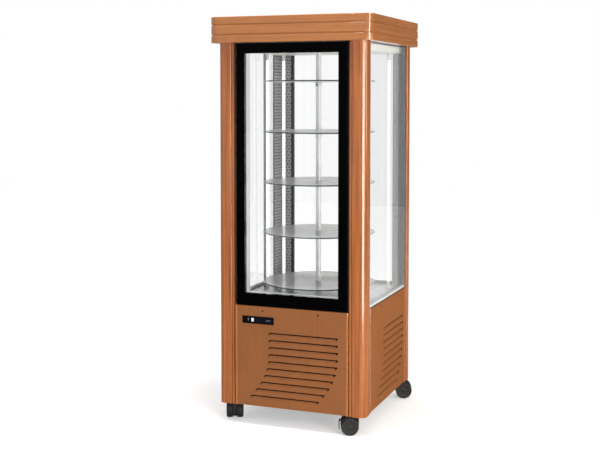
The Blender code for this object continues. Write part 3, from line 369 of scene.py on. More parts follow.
def group_node(nodes, tree, **values):
    """The outputs of a node group, with its inputs filled by name."""
    return nodes.fill(nodes.add("ShaderNodeGroup", node_tree=tree), **values)


def new_material(name):
    """A new material, its nodes and its shader."""
    material = bpy.data.materials.new(name)
    material.use_nodes = True
    return material, Nodes(material.node_tree), material.node_tree.nodes["Principled BSDF"]


def worn(nodes, shader, colour, darker, roughness, **amounts):
    """Give a shader a colour between two and a roughness, both varied by wear."""
    wear = group_node(nodes, WEAR, **amounts)
    nodes.fill(
        shader, Base_Color=nodes.mix(wear["Tint"], (*darker, 1), (*colour, 1)),
        Roughness=nodes.maths("ADD", wear["Roughness"], roughness),
    )
    return wear


def finish(name, colour, darker, roughness, metallic=0.0, grain=EVEN, amount=0.5,
           bump=0.05, blotches=0.5, coat=0.0, specular=0.5, coat_roughness=0.03, streaks=0.0):
    """A worn, grained finish between two colours, written as linear RGB. Amount is that of the
    grain in its colour, and bump that of its relief."""
    material, nodes, shader = new_material(name)
    wear = worn(
        nodes, shader, colour, darker, roughness,
        Grain_Scale=grain, Grain=amount, Blotches=blotches, Streaks=streaks,
    )
    relief = nodes.fill(nodes.add("ShaderNodeBump"), Strength=bump, Distance=RELIEF, Height=wear["Height"])
    nodes.fill(
        shader, Metallic=metallic, Specular_IOR_Level=specular, Coat_Weight=coat,
        Coat_Roughness=coat_roughness, Normal=relief[0],
    )
    return material


def linear(red, green, blue):
    """A colour written as 0 to 255 display values, as linear RGB."""
    share = np.array([red, green, blue]) / 255
    return tuple(np.where(share <= 0.04045, share / 12.92, ((share + 0.055) / 1.055) ** 2.4).tolist())


def glass(name, tint, roughness, bending=1.45):
    """Clear glass that lets light rays straight through to what it covers, with a faint film.
    Bending is its index of refraction."""
    material, nodes, shader = new_material(name)
    wear = group_node(nodes, WEAR, Grain_Scale=FILM_GRAIN, Grain=0.4, Blotches=0.5)
    darker = tuple(channel * GLASS_SHADE_SHARE for channel in tint)
    film = nodes.maths("MULTIPLY", wear["Roughness"], FILM_SHARE)
    nodes.fill(
        shader, Base_Color=nodes.mix(wear["Tint"], (*darker, 1), (*tint, 1)),
        Roughness=nodes.maths("MAXIMUM", nodes.maths("ADD", film, roughness), 0.0),
        Metallic=0.0, Transmission_Weight=1.0, IOR=bending,
    )
    clear = nodes.fill(nodes.add("ShaderNodeBsdfTransparent"), Color=(*tint, 1))
    path = nodes.add("ShaderNodeLightPath").outputs
    soft = nodes.maths("MAXIMUM", path["Is Shadow Ray"], path["Is Diffuse Ray"])
    nodes.in_front(clear[0], soft)
    return material


def glowing(name, colour, strength):
    """A plain surface that also gives a little light of its own, with a faint unevenness."""
    material = finish(name, colour, tuple(0.93 * channel for channel in colour), 0.35)
    shader = material.node_tree.nodes["Principled BSDF"]
    Nodes(material.node_tree).fill(shader, Emission_Color=(*colour, 1), Emission_Strength=strength)
    return material


def window_group():
    """1 inside a rectangle on the X and Z of the object's own coordinates, 0 outside it."""
    tree, nodes, given, result = effect(
        "Clear Window",
        [("Left", "Float", 0.0), ("Right", "Float", 1.0), ("Bottom", "Float", 0.0), ("Top", "Float", 1.0)],
        [("Mask", "Float")],
    )
    place = nodes.add("ShaderNodeTexCoord").outputs["Object"]
    split = nodes.fill(nodes.add("ShaderNodeSeparateXYZ"), Vector=place)
    mask = 1.0
    for axis, low, high in (("X", "Left", "Right"), ("Z", "Bottom", "Top")):
        for operation, limit in (("GREATER_THAN", given[low]), ("LESS_THAN", given[high])):
            mask = nodes.maths("MULTIPLY", mask, nodes.maths(operation, split[axis], limit))
    nodes.link(mask, result["Mask"])
    return tree


def cover(nodes, share, label, colour, darker, roughness, amount, blotches):
    """Add an opaque surface in front of a glass, as far as the share says."""
    surface = nodes.add("ShaderNodeBsdfPrincipled", label=label)
    worn(nodes, surface, colour, darker, roughness, Grain_Scale=EVEN, Grain=amount, Blotches=blotches)
    nodes.in_front(surface.outputs[0], share)
    return surface


def door_pane():
    """The door's outer pane: clear glass in the middle and black enamel round it."""
    material = glass("Door pane", *CLEAR)
    nodes = Nodes(material.node_tree)
    inside = group_node(
        nodes, window_group(), Left=CLEAR_LOW[0], Right=CLEAR_HIGH[0], Bottom=CLEAR_LOW[1], Top=CLEAR_HIGH[1]
    )
    share = nodes.maths("SUBTRACT", 1.0, inside["Mask"])
    black = (0.0008, 0.0008, 0.0010), (0.0004, 0.0004, 0.0005)
    enamel = cover(nodes, share, "Enamel", *black, 0.16, 0.5, 0.5)
    enamel.inputs["Specular IOR Level"].default_value = 0.02
    return material


def shelf_glass():
    """Clear from above and pale at a flat angle, where a shelf mirrors the white walls round it: the
    pale cover is a painted reflection.
    """
    material = glass("Shelf glass", (0.66, 0.67, 0.665), 0.01, 1.12)
    nodes = Nodes(material.node_tree)
    facing = nodes.fill(nodes.add("ShaderNodeLayerWeight"), Blend=0.5)["Facing"]
    share = nodes.spread(facing, 0.35, 1.0, 0.0, 0.8)
    cover(nodes, share, "Painted reflection", linear(206, 207, 208), linear(186, 187, 188), 0.3, 0.3, 0.6)
    return material


COPPER = finish(
    "Copper lacquer, upright grain", linear(178, 102, 48), linear(132, 72, 32), 0.42, 0.0, UPRIGHT, 0.7, 0.01,
    coat=1.0, coat_roughness=0.16, specular=0.0, streaks=1.8,
)
CROWN_COPPER = finish(
    "Copper lacquer, level grain", linear(177, 113, 60), linear(143, 86, 43), 0.4, 0.0, LEVEL, 0.9, 0.01,
    coat=1.0, coat_roughness=0.07, specular=0.0, streaks=0.9,
)
PANEL_COPPER = finish(
    "Copper paint on sheet", linear(147, 95, 59), linear(124, 78, 49), 0.6, 0.0, UPRIGHT, 0.4, 0.02,
    specular=0.0, streaks=0.5,
)
GREY_SHEET = finish("Grey painted sheet", linear(150, 152, 152), linear(128, 130, 130), 0.45, 0.1)
ZINC = finish("Zinc plate", linear(160, 162, 164), linear(130, 132, 136), 0.42, 0.8, (60.0, 60.0, 60.0), 0.8)
STEEL = finish(
    "Brushed steel", linear(196, 197, 198), linear(160, 161, 163), 0.28, 0.9, (12.0, 900.0, 900.0), 0.7
)
PIPE_STEEL = finish(
    "Ground steel tube", linear(250, 251, 252), linear(236, 237, 238), 0.25, 0.1, (500.0, 500.0, 30.0), 0.5
)
WHITE = finish("White plastic", linear(232, 232, 230), linear(215, 215, 212), 0.45)
LAMP_PIECE = finish("Lamp tube", linear(250, 250, 250), linear(236, 238, 240), 0.35)
PROFILE = finish("Light grey profile", linear(205, 208, 209), linear(188, 191, 192), 0.42, 0.2, UPRIGHT, 0.6)
BLACK = finish("Black enamel", (0.0045, 0.0045, 0.005), (0.003, 0.003, 0.003), 0.12, specular=0.35)
# Real rubber, and also black painted shade inside the air ducts.
RUBBER_AND_PAINTED_SHADE = finish("Black rubber", (0.014, 0.014, 0.014), (0.009, 0.009, 0.009), 0.7, specular=0.05)
# Real black plastic, and also painted shade deep in the louvre slots.
BLACK_PLASTIC_AND_PAINTED_SHADE = finish("Black plastic", (0.004, 0.004, 0.005), (0.002, 0.002, 0.003), 0.45, specular=0.02)
WINDOW = finish("Display window", (0.007, 0.008, 0.012), (0.004, 0.005, 0.008), 0.15, specular=0.02)
MACHINE = finish("Machine paint", (0.03, 0.03, 0.032), (0.018, 0.018, 0.02), 0.5)
COIL = finish("Coil fins", linear(190, 192, 194), linear(150, 152, 154), 0.4, 0.8)
CASTOR = finish("Castor plastic", linear(46, 46, 46), linear(36, 36, 36), 0.5, specular=0.1)
GLASS = glass("Clear glass", *CLEAR)
SIDE_GLASS = glass("Coated glass", (0.992, 0.996, 0.994), 0.0, 1.24)
SHELF_GLASS = shelf_glass()
HUB_CLEAR = glass("Clear hub", (0.975, 0.98, 0.98), 0.02, 1.04)
SHELF_RIM = finish("Shelf edge", (0.060, 0.075, 0.070), (0.035, 0.045, 0.042), 0.22)
SPACER_BAR = finish(
    "Spacer bar", linear(206, 208, 210), linear(186, 188, 190), 0.45, 0.2, UPRIGHT, 0.4, specular=0.1
)
# A darker copy of the spacer bar's finish: painted shade where the duct shades it.
SPACER_SHADE = finish(
    "Spacer bar in the duct's shade", linear(84, 84, 82), linear(66, 66, 64), 0.8, 0.0, UPRIGHT, 0.4,
    specular=0.0,
)
DUCT_FACE = finish(
    "Perforated sheet", linear(182, 183, 184), linear(160, 161, 162), 0.45, 0.2, UPRIGHT, 0.5, specular=0.2
)
# The same perforated steel as the sheet inside, darker: painted shade.
DUCT_BACK_PAINTED_SHADE = finish(
    "Duct backing, painted shade", linear(92, 92, 89), linear(76, 76, 74), 0.8, 0.0, UPRIGHT, 0.4, specular=0.0
)
SCREW_BLACK = finish("Blackened screw", linear(30, 18, 13), linear(18, 11, 8), 0.5, 0.2, specular=0.1)
MARK_GREY = finish("Pale mark", linear(140, 144, 150), linear(110, 114, 120), 0.5)
LAMP_GLOW = glowing("Lamp tube glow", (0.92, 0.93, 0.94), 0.95)
DIGIT_GLOW = glowing("Dim digits", (0.20, 0.20, 0.26), 0.12)
DOOR_PANE = door_pane()

SLOT_FINISH = {
    "copper_paint": COPPER, "grey_sheet": GREY_SHEET, "zinc": ZINC, "stainless": STEEL,
    "white_plastic": WHITE, "glass": GLASS, "lamp": LAMP_PIECE, "grey_profile": PROFILE,
    "black_enamel": BLACK, "rubber": RUBBER_AND_PAINTED_SHADE, "black_plastic": BLACK_PLASTIC_AND_PAINTED_SHADE,
    "display_window": WINDOW, "machine_paint": MACHINE, "coil_fins": COIL, "castor_plastic": CASTOR,
}


def paint_solids():
    """Give each solid the finish of its slot in the record."""
    for row in frame["record"]["subparts"]:
        dress(NODES[row["node"]], SLOT_FINISH[row["material_slot"]])
    dress(NODES["crown_fascia"], CROWN_COPPER)
    for name, _, _ in PANELS:
        dress(NODES[name], PANEL_COPPER)
    for place in ("upper", "lower"):
        dress(NODES["hinge_bracket_" + place], BLACK)


# Posts and crown

POST_PLACES = (("front_right", 1, -1), ("front_left", -1, -1), ("rear_right", 1, 1), ("rear_left", -1, 1))
FLANGE = 0.009           # set back at each leg's end, with a groove beside it
FLANGE_SET = 0.004
GROOVE = 0.003
GROOVE_DEPTH = 0.007
POST_CORNER = 0.028
POST_WALL = 0.030
BEAD_EDGE = 0.0035
CROWN_CORNER = 0.045
CROWN_WALL = 0.010
CROWN_FLOOR = 0.003
CROWN_GROOVE = 0.005     # height of the groove between two bands
CROWN_GROOVE_DEPTH = 0.004
LEDGE_DROP = 0.0035      # from the crown's top down to the ledge inside it
LEDGE_WIDTH = 0.012
LEDGE_FOOT = 0.008
CROWN_BANDS = ((0.0, 0.0325), (0.0375, 0.0775), (0.0825, 0.1160))
BAND_EDGE = 0.0028


def post_section():
    """Section of a post as (from its side face, from its front face): the front leg's end, flange
    and groove, quarter circles of radius BEAD_EDGE and POST_CORNER, then the same in reverse."""
    step = POST_LEG - FLANGE
    near = step - GROOVE
    leg = [(POST_LEG, POST_WALL), (POST_LEG, FLANGE_SET), (step, FLANGE_SET), (step, GROOVE_DEPTH)]
    leg += [(near, GROOVE_DEPTH)]
    rim = arc((near - BEAD_EDGE, BEAD_EDGE), BEAD_EDGE, 0, -math.pi / 2, 6)
    corner = arc((POST_CORNER, POST_CORNER), POST_CORNER, -math.pi / 2, -math.pi, 28)
    half = np.concatenate([np.array(leg), rim, corner])
    rest = np.concatenate([rim[::-1, ::-1], np.array(leg)[::-1, ::-1]])
    return np.concatenate([half, rest, [(POST_WALL, POST_WALL)]])


def posts():
    """Four posts: one section, lofted upwards and mirrored to each corner."""
    section = post_section()
    for name, x, y in POST_PLACES:
        loop = np.stack([x * (HALF_X - section[:, 0]), y * (HALF_Y - section[:, 1])], -1)
        rings = [placed(loop, "Z", height) for height in (POST_LOW.z, POST_HIGH.z)]
        piece = loft("post_shell_" + name, rings)
        ride(dress(piece, COPPER), "cabinet", "copper_paint", "post_" + name)


def crown_loop(inset, height):
    """The crown's outline at an inset from its face."""
    corner = max(CROWN_CORNER - inset, 0.002)
    return placed(
        round_rectangle(-CROWN_X + inset, CROWN_X - inset, -CROWN_Y + inset, CROWN_Y - inset, corner, 16),
        "Z", height,
    )


def crown():
    """Rings round the crown's section: its floor from the posts outwards, three bands whose edges
    are quarter circles of radius BAND_EDGE, the grooves between them, and back down inside."""
    base = CROWN_LOW.z
    hole = round_rectangle(-HALF_X - SEAT, HALF_X + SEAT, -HALF_Y - SEAT, HALF_Y + SEAT, 0.001, 16)
    rings = [placed(hole, "Z", base + CROWN_FLOOR), placed(hole, "Z", base)]
    edge = eased(BAND_EDGE)
    for start, end in CROWN_BANDS:
        rings += [crown_loop(inset, base + start + rise) for inset, rise in edge]
        rings += [crown_loop(inset, base + end - rise) for inset, rise in edge[::-1]]
        if end < CROWN_BANDS[-1][1]:
            rings += [crown_loop(CROWN_GROOVE_DEPTH, base + end + rise) for rise in (0, CROWN_GROOVE)]
    top = CROWN_HIGH.z
    ledge = CROWN_WALL + LEDGE_WIDTH
    inside = [(CROWN_WALL, top), (CROWN_WALL, top - LEDGE_DROP), (ledge, top - LEDGE_DROP)]
    inside += [(ledge, top - LEDGE_FOOT), (CROWN_WALL, top - LEDGE_FOOT), (CROWN_WALL, base + CROWN_FLOOR)]
    rings += [crown_loop(inset, height) for inset, height in inside]
    piece = loft("crown_shell", rings, ring_closed=True)
    ride(dress(piece, CROWN_COPPER), "cabinet", "copper_paint", "crown_fascia")


# Glazing and door

POST_BACK = HALF_Y - POST_LEG + SEAT     # where the rear posts' legs begin
DUCT_SHADE = 0.03        # how far before a rear post's leg the duct shades the spacer
PANE = 0.004
PANE_CORNER = 0.002
PANE_EDGE = 0.0006
SPACER = 0.010
SEALANT = 0.003
SEALANT_SET = 0.001      # the sealant's distance from the pane's edge
SPACER_SET = 0.0013
SHEET_EDGE = 0.0004
DOOR_CORNER = 0.003
DOOR_EDGE = 0.0008
GASKET_WIDTH = 0.010
GASKET_ROUND = 0.0028


def ring_sheet(name, axis, outer, inner, low, high, edge=SHEET_EDGE):
    """A flat frame between an outer and an inner rectangle, each (left, right, bottom, top), from
    low to high along an axis, as one closed skin of rings with edges rounded by edge."""
    rings = []
    for box, sign in ((outer, 1), (inner, -1)):
        for inset, height in ((edge, low), (0, low + edge), (0, high - edge), (edge, high)):
            left, right, bottom, top = np.array(box) + INWARDS * (inset * sign)
            loop = [(left, bottom), (right, bottom), (right, top), (left, top)]
            rings.append(placed(loop, axis, height))
    order = rings[:4] + rings[4:][::-1]
    return loft(name, order, ring_closed=True, smooth=False)


def glazing_unit(name, axis, low, high):
    """One fixed unit: two glass panes, the bright spacer bar between them and the black sealant
    round the spacer's outside. The spacer's rear part, where the duct shades it, has a darker copy
    of its finish: painted shade."""
    along = "XYZ".index(axis)
    u, v = [i for i in range(3) if i != along]
    panes = []
    for start in (low[along], high[along] - PANE):
        lower, upper = list(low), list(high)
        lower[along], upper[along] = start, start + PANE
        panes.append(slab("pane", axis, lower, upper, PANE_CORNER, PANE_EDGE, 3, smooth=False))
    ride(dress(joined(name + "_panes", panes, smooth=False), SIDE_GLASS), "cabinet", "glass", name)
    inside = low[along] + PANE + SEAT / 3, high[along] - PANE - SEAT / 3
    box = np.array([low[u], high[u], low[v], high[v]])
    outer = box + INWARDS * SEALANT_SET
    seal = ring_sheet(name + "_sealant", axis, outer, outer + INWARDS * SEALANT, *inside)
    ride(dress(seal, RUBBER_AND_PAINTED_SHADE), "cabinet", "rubber")
    outer = box + INWARDS * (SPACER_SET + SEALANT)
    bar = ring_sheet(name + "_spacer", axis, outer, outer + INWARDS * SPACER, *inside)
    dress(bar, SPACER_BAR, SPACER_SHADE)
    depths = np.array([face.center.y for face in bar.data.polygons])
    second_finish(bar, depths > POST_BACK - DUCT_SHADE)
    ride(bar, "cabinet", "grey_profile")


def glazing():
    """The three fixed units."""
    for name, axis in (("left_glass", "X"), ("right_glass", "X"), ("rear_glass", "Y")):
        glazing_unit(name, axis, *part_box(name))


def door():
    """The outer pane with polished edges, whose black border is enamel on the glass, and the inner
    pane on its spacer inside the frame."""
    for name, node, edge, steps, material in (
        ("door_glass_front", "door_outer_pane", DOOR_EDGE, 4, DOOR_PANE),
        ("door_glass_back", "door_inner_pane", PANE_EDGE, 3, GLASS),
    ):
        pane = slab(name, "Y", *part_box(node), DOOR_CORNER, edge, steps, smooth=False)
        ride(dress(pane, material), "door", "glass", node)
    low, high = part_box("door_gasket")
    outer = np.array([low.x, high.x, low.z, high.z])
    inner = outer + INWARDS * GASKET_WIDTH
    bead = ring_sheet("door_seal_lip", "Y", outer, inner, low.y, high.y, GASKET_ROUND)
    ride(dress(bead, RUBBER_AND_PAINTED_SHADE), "door", "rubber", "door_gasket")


# Air ducts and lamps

DUCT_SHEET = 0.0015
DUCT_CAVITY = 0.0025     # between the inner and the outer perforated sheet
CAVITY_SET = 0.0035      # how far the black sheet of painted shade behind them lies inside the outer one's reach
CAVITY_SHEET = 0.001
HOLE_RADIUS = 0.0037
HOLE_ROWS = 73
HOLE_POINTS = 16
ROW_SHIFT_SHARE = 0.245  # of a cell's width, one way and then the other
SIDE_COLUMNS = 8
REAR_COLUMNS = 3


def perforated(name, side, corner, side_leg, rear_leg, low, high):
    """An L of perforated sheet. On each of its two faces a grid of square cells, each with a ring
    of points on its hole, (hole radius) * (cos a, sin a), and a ring on its border,
    (half cell) * (cos a, sin a) / max(|cos a|, |sin a|). The holes of alternate rows lie to the
    left and to the right in their cells, about half a cell apart."""
    columns = SIDE_COLUMNS + REAR_COLUMNS
    angle = np.arange(HOLE_POINTS) * 2 * math.pi / HOLE_POINTS
    unit = np.stack([np.cos(angle), np.sin(angle)], -1)
    square = unit / np.abs(unit).max(-1, keepdims=True)
    widths = np.array([side_leg / SIDE_COLUMNS] * SIDE_COLUMNS + [rear_leg / REAR_COLUMNS] * REAR_COLUMNS)
    centre_s = np.concatenate([[0], np.cumsum(widths)[:-1]]) + widths / 2
    pitch = (high - low) / HOLE_ROWS
    row, column = np.meshgrid(np.arange(HOLE_ROWS), np.arange(columns), indexing="ij")
    centre = np.stack([centre_s[column], low + (row + 0.5) * pitch], -1)[:, :, None, :]
    half = np.stack([widths[column] / 2, np.full(row.shape, pitch / 2)], -1)[:, :, None, :]
    shift = np.zeros_like(centre)
    shift[..., 0] = (np.where(row % 2, ROW_SHIFT_SHARE, -ROW_SHIFT_SHARE) * widths[column])[:, :, None]
    border = centre + half * square
    hole = centre + shift + HOLE_RADIUS * unit
    flat = np.stack([hole, border], 2).reshape(-1, 2)
    faces_of = []
    for depth in (0.0, DUCT_SHEET):
        s, z = flat[:, 0], flat[:, 1]
        on_side = s <= side_leg + 1e-9
        y = np.where(on_side, np.minimum(corner[1] - side_leg + s, corner[1] - depth), corner[1] - depth)
        x = np.where(on_side, corner[0] - depth, np.minimum(corner[0] - (s - side_leg), corner[0] - depth))
        faces_of.append(np.stack([side * x, y, z], -1))
    points = np.concatenate(faces_of)
    cells = len(flat) // (2 * HOLE_POINTS)
    start = (np.arange(cells) * 2 * HOLE_POINTS)[:, None]
    step = np.arange(HOLE_POINTS)[None, :]
    here = start + step
    after = start + (step + 1) % HOLE_POINTS
    front = np.stack([here, after, after + HOLE_POINTS, here + HOLE_POINTS], -1)
    back = front + len(flat)
    wall = np.stack([here, after, after + len(flat), here + len(flat)], -1)
    edge = wall + HOLE_POINTS
    total = side_leg + rear_leg
    s, z = flat[:, 0], flat[:, 1]
    rim = [np.isclose(s, 0), np.isclose(s, total), np.isclose(z, low), np.isclose(z, high)]
    first, second = edge.reshape(-1, 4)[:, 0], edge.reshape(-1, 4)[:, 1]
    outer = np.any([mark[first] & mark[second] for mark in rim], 0)
    quads_front, quads_back = front.reshape(-1, 4), back.reshape(-1, 4)
    quads = np.concatenate([quads_front, quads_back, wall.reshape(-1, 4), edge.reshape(-1, 4)[outer]])
    piece = mesh_object(name, points, quads.tolist())
    number = np.arange(len(quads)) - len(quads_front)
    piece.data.materials.append(None)
    piece.data.materials.append(None)
    second_finish(piece, (number >= 0) & (number < len(quads_back)))
    return piece


def ducts():
    """Two perforated sheets in each rear corner, a bright one inside and a dull one behind it,
    and a dark folded sheet behind both. The dull sheet's darker grey is painted shade on the same
    steel, and the black of the lining's hole walls, of the faces turned into the duct and of the
    folded sheet is painted shade too."""
    for name, side in (("left", -1), ("right", 1)):
        node = "duct_rear_" + name
        low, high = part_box(node)
        corner = (max(abs(low.x), abs(high.x)), high.y)
        inner = perforated(node + "_lining", side, corner, high.y - low.y, high.x - low.x, low.z, high.z)
        # Black on the lining's hole walls and on its face turned into the duct: painted shade.
        ride(dress(inner, RUBBER_AND_PAINTED_SHADE, DUCT_FACE), "cabinet", "stainless", node)
        step = DUCT_CAVITY + DUCT_SHEET
        outer = perforated(node + "_backing", side, (corner[0] + step, corner[1] + step),
                           high.y - low.y + step, high.x - low.x + step, low.z, high.z)
        # Darker grey outside and black inside on the backing: painted shade.
        ride(dress(outer, DUCT_BACK_PAINTED_SHADE, RUBBER_AND_PAINTED_SHADE), "cabinet", "stainless")
        near, far = corner[0] + 2 * step - CAVITY_SET, corner[1] + 2 * step - CAVITY_SET
        end = min(abs(low.x), abs(high.x))
        outside = near + CAVITY_SHEET, far + CAVITY_SHEET
        strip = [(near, POST_BACK), (outside[0], POST_BACK), outside]
        strip += [(end, outside[1]), (end, far), (near, far)]
        loop = np.array(strip) * (side, 1)
        # A black sheet in the dark of the duct: painted shade.
        painted_shade = loft(node + "_painted_shade", [placed(loop, "Z", low.z), placed(loop, "Z", high.z)], smooth=False)
        ride(dress(painted_shade, RUBBER_AND_PAINTED_SHADE), "cabinet", "stainless")


LAMPS = (
    ("lamp_rear_left", (-0.272, 0.233)),
    ("lamp_rear_right", (0.272, 0.233)),
    ("lamp_left_wall", (-0.2923, 0.068)),
)
LAMP_STEPS = 28
LAMP_EDGE = 0.001
TUBE_RADIUS = 0.0072
TUBE_ENTRY = 0.005       # how far a tube reaches into its holder
HOLDER_RADIUS = 0.0093
HOLDER_HEIGHT = 0.022
HOLDER_ROUND = 0.0009
COLLAR_HEIGHT = 0.014
COLLAR_STEP = 0.0015
CAP_OVER = 0.0003        # how far a metal cap stands proud of the tube
CAP_UNDER = 0.0004       # and how far its end turns in
CAP_LENGTH = 0.009
RAIL_DEPTH = 0.009
SHADE_DEPTH = 0.0135
SHADE_SHEET = 0.0018


def lamp(name, place):
    """A tube with metal end caps, and a holder with a stepped collar at both ends."""
    low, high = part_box(name)
    centre = (*place, 0)
    foot, head = low.z + HOLDER_HEIGHT - TUBE_ENTRY, high.z - HOLDER_HEIGHT + TUBE_ENTRY
    tube = [(TUBE_RADIUS - LAMP_EDGE, foot - LAMP_EDGE), (TUBE_RADIUS, foot), (TUBE_RADIUS, head),
            (TUBE_RADIUS - LAMP_EDGE, head + LAMP_EDGE)]
    ride(dress(turned(name + "_tube", "Z", centre, tube, LAMP_STEPS), LAMP_GLOW), "cabinet", "lamp", name)
    over, end_of_cap = TUBE_RADIUS + CAP_OVER, HOLDER_HEIGHT + CAP_LENGTH
    cap = [(over, HOLDER_HEIGHT - LAMP_EDGE), (over, end_of_cap)]
    cap.append((TUBE_RADIUS - CAP_UNDER, end_of_cap + LAMP_EDGE))
    neck = HOLDER_RADIUS - COLLAR_STEP
    body = [(HOLDER_RADIUS - LAMP_EDGE, 0.0), (HOLDER_RADIUS, LAMP_EDGE), (HOLDER_RADIUS, COLLAR_HEIGHT)]
    body += [(neck, COLLAR_HEIGHT + COLLAR_STEP), (neck, HOLDER_HEIGHT - LAMP_EDGE)]
    body.append((neck - HOLDER_ROUND, HOLDER_HEIGHT))
    for kind, profile in (("_caps", cap), ("_holders", body)):
        ends = [
            turned("end", "Z", centre, [(radius, end + way * rise) for radius, rise in profile], LAMP_STEPS)
            for end, way in ((low.z, 1), (high.z, -1))
        ]
        ride(dress(joined(name + kind, ends), WHITE), "cabinet", "lamp")


def lamps():
    """The three lamps, and the rail with its shade behind the one at the wall."""
    for name, place in LAMPS:
        lamp(name, place)
    low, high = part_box("lamp_left_wall")
    rail = slab("rail", "Z", low, (low.x + RAIL_DEPTH, high.y, high.z), 0.0015, 0.0006, 3)
    shade_low = (low.x, low.y - SHADE_SHEET, low.z)
    shade = slab("shade", "Z", shade_low, (low.x + SHADE_DEPTH, low.y, high.z), 0.0008, 0.0004, 3)
    ride(dress(joined("lamp_wall_rail", [rail, shade]), GREY_SHEET), "cabinet", "lamp")


# Carousel

SHELVES = tuple("shelf_%d" % number for number in range(1, 6))
SHELF_RADIUS = 0.262
SHELF_EDGE = 0.0022
SHELF_BORE_GAP = 0.0006
SHAFT_RADIUS = 0.013
TURNED_EDGE = 0.001      # edges of the shaft and of the hubs' flanges
HUB_RADIUS = 0.020
HUB_HEIGHT = 0.020
HUB_EDGE = 0.0015
HUB_BORE_GAP = 0.0005
FLANGE_RADIUS = 0.0315
FLANGE_HEIGHT = 0.004
THUMB_STEM = 0.0022
THUMB_SCREW = 0.0045     # radius of the screw that clamps a hub
THUMB_PROFILE = (        # (radius, distance out from the hub's face)
    (THUMB_STEM, -0.001), (THUMB_STEM, 0.003), (THUMB_SCREW - 0.0005, 0.0032),
    (THUMB_SCREW, 0.0038), (THUMB_SCREW, 0.0078), (THUMB_SCREW - 0.001, 0.0088),
)


def shelf(name, radius, low, high):
    """A glass disc: flat faces, and a polished edge of two quarter circles of radius SHELF_EDGE.
    The edge has its own finish, because light runs along the glass there."""
    rim = mirrored([(radius - inset, low + rise) for inset, rise in eased(SHELF_EDGE)], low + high)
    bore = SHAFT_RADIUS + SHELF_BORE_GAP
    piece = turned(name, "Z", (0, 0, 0), [(bore, low)] + rim + [(bore, high)], 160, ring_closed=True)
    reaches = np.array([face.center.xy.length for face in piece.data.polygons])
    dress(piece, SHELF_GLASS, SHELF_RIM)
    second_finish(piece, reaches > radius - SHELF_EDGE)
    return piece


def hub(under):
    """A clear hub below a height: a flange, and a sleeve down the shaft."""
    bore = SHAFT_RADIUS + HUB_BORE_GAP
    flange = under - FLANGE_HEIGHT
    foot = flange - HUB_HEIGHT
    profile = [
        (bore, under), (FLANGE_RADIUS - TURNED_EDGE, under), (FLANGE_RADIUS, under - TURNED_EDGE),
        (FLANGE_RADIUS, flange + TURNED_EDGE), (FLANGE_RADIUS - TURNED_EDGE, flange),
        (HUB_RADIUS + HUB_EDGE, flange), (HUB_RADIUS, flange - HUB_EDGE), (HUB_RADIUS, foot + HUB_EDGE),
        (HUB_RADIUS - HUB_EDGE, foot), (bore, foot),
    ]
    return turned("hub", "Z", (0, 0, 0), profile, 48, ring_closed=True)


def carousel():
    """The shaft, five shelves, and a clear hub with a thumb screw under each. Only the uppermost
    thumb screw is black."""
    low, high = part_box("carousel_shaft")
    inner = SHAFT_RADIUS - TURNED_EDGE
    tube = [(inner, low.z), (SHAFT_RADIUS, low.z + TURNED_EDGE)]
    tube += [(SHAFT_RADIUS, high.z - TURNED_EDGE), (inner, high.z)]
    shaft = turned("shaft_tube", "Z", (0, 0, 0), tube, 48)
    ride(dress(shaft, PIPE_STEEL), "carousel", "stainless", "carousel_shaft")
    hubs, screws = [], []
    for name in SHELVES:
        low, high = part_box(name)
        ride(shelf(name + "_glass", SHELF_RADIUS, low.z, high.z), "carousel", "glass", name)
        under = low.z - SEAT
        hubs.append(hub(under))
        middle = under - FLANGE_HEIGHT - HUB_HEIGHT / 2
        knob = [(radius, -HUB_RADIUS - off) for radius, off in THUMB_PROFILE]
        screws.append(turned("thumb_screw", "Y", (0, 0, middle), knob, 20))
    ride(dress(joined("shelf_hubs", hubs), HUB_CLEAR), "carousel", "stainless")
    ride(dress(joined("hub_thumb_screw_top", screws[-1:]), BLACK_PLASTIC_AND_PAINTED_SHADE), "carousel", "stainless")
    ride(dress(joined("hub_thumb_screws", screws[:-1]), PIPE_STEEL), "carousel", "stainless")


# Castors

CASTORS = (              # (name, side, front or rear, degrees that it is swivelled)
    ("front_right", 1, -1, 111), ("front_left", -1, -1, 21),
    ("rear_right", 1, 1, -69), ("rear_left", -1, 1, -69),
)
CASTOR_INSET = 0.053
CASTOR_TRAIL = 0.034
WHEEL_RADIUS = 0.0395
WHEEL_WIDTH = 0.029
WHEEL_GAP = 0.018
SHOULDER = 0.0055        # round edge of a wheel's tread
TREAD_GROOVE = 0.0006
HUB_HOLE = 0.0045
AXLE_HEIGHT = 0.0395075
AXLE_RADIUS = 0.0038
AXLE_REACH = 0.003       # how far the axle reaches into each wheel
CAP_PROFILE = (          # (radius, depth below the wheel's outer face)
    (0.0005, 0.0002), (0.009, 0.0006), (0.0105, 0.0014), (0.0112, 0.0014), (0.0125, 0.0010), (0.028, 0.0006),
    (0.0325, 0.0),
)
HOOD_RADIUS = 0.0428
HOOD_SHEET = 0.0016
HOOD_START = math.radians(26)
HOOD_END = math.radians(160)
HOOD_EDGE = 0.003
WEB_RADIUS = 0.034
WEB_EDGE = 0.001
RIB_ANGLE = 0.07         # how much shorter the rib's arc is at each end, in radians
NECK_TOP = 0.0795
SWIVEL_PROFILE = (       # (radius, height) of the swivel ring's two collars
    (0.0138, 0.0734), (0.0142, 0.0742), (0.0142, 0.0780), (0.0138, 0.0786), (0.0118, 0.0786),
    (0.0118, 0.0812), (0.0138, 0.0812), (0.0142, 0.0818), (0.0142, 0.0828), (0.0138, 0.0834),
)
PEDAL_TOP = 0.062
PEDAL_FOOT = 0.022
PEDAL_HALF = 0.012
PEDAL_SHEET = 0.003
PEDAL_AXIS = CASTOR_TRAIL + WHEEL_RADIUS + 0.0057
BARREL_RADIUS = 0.003
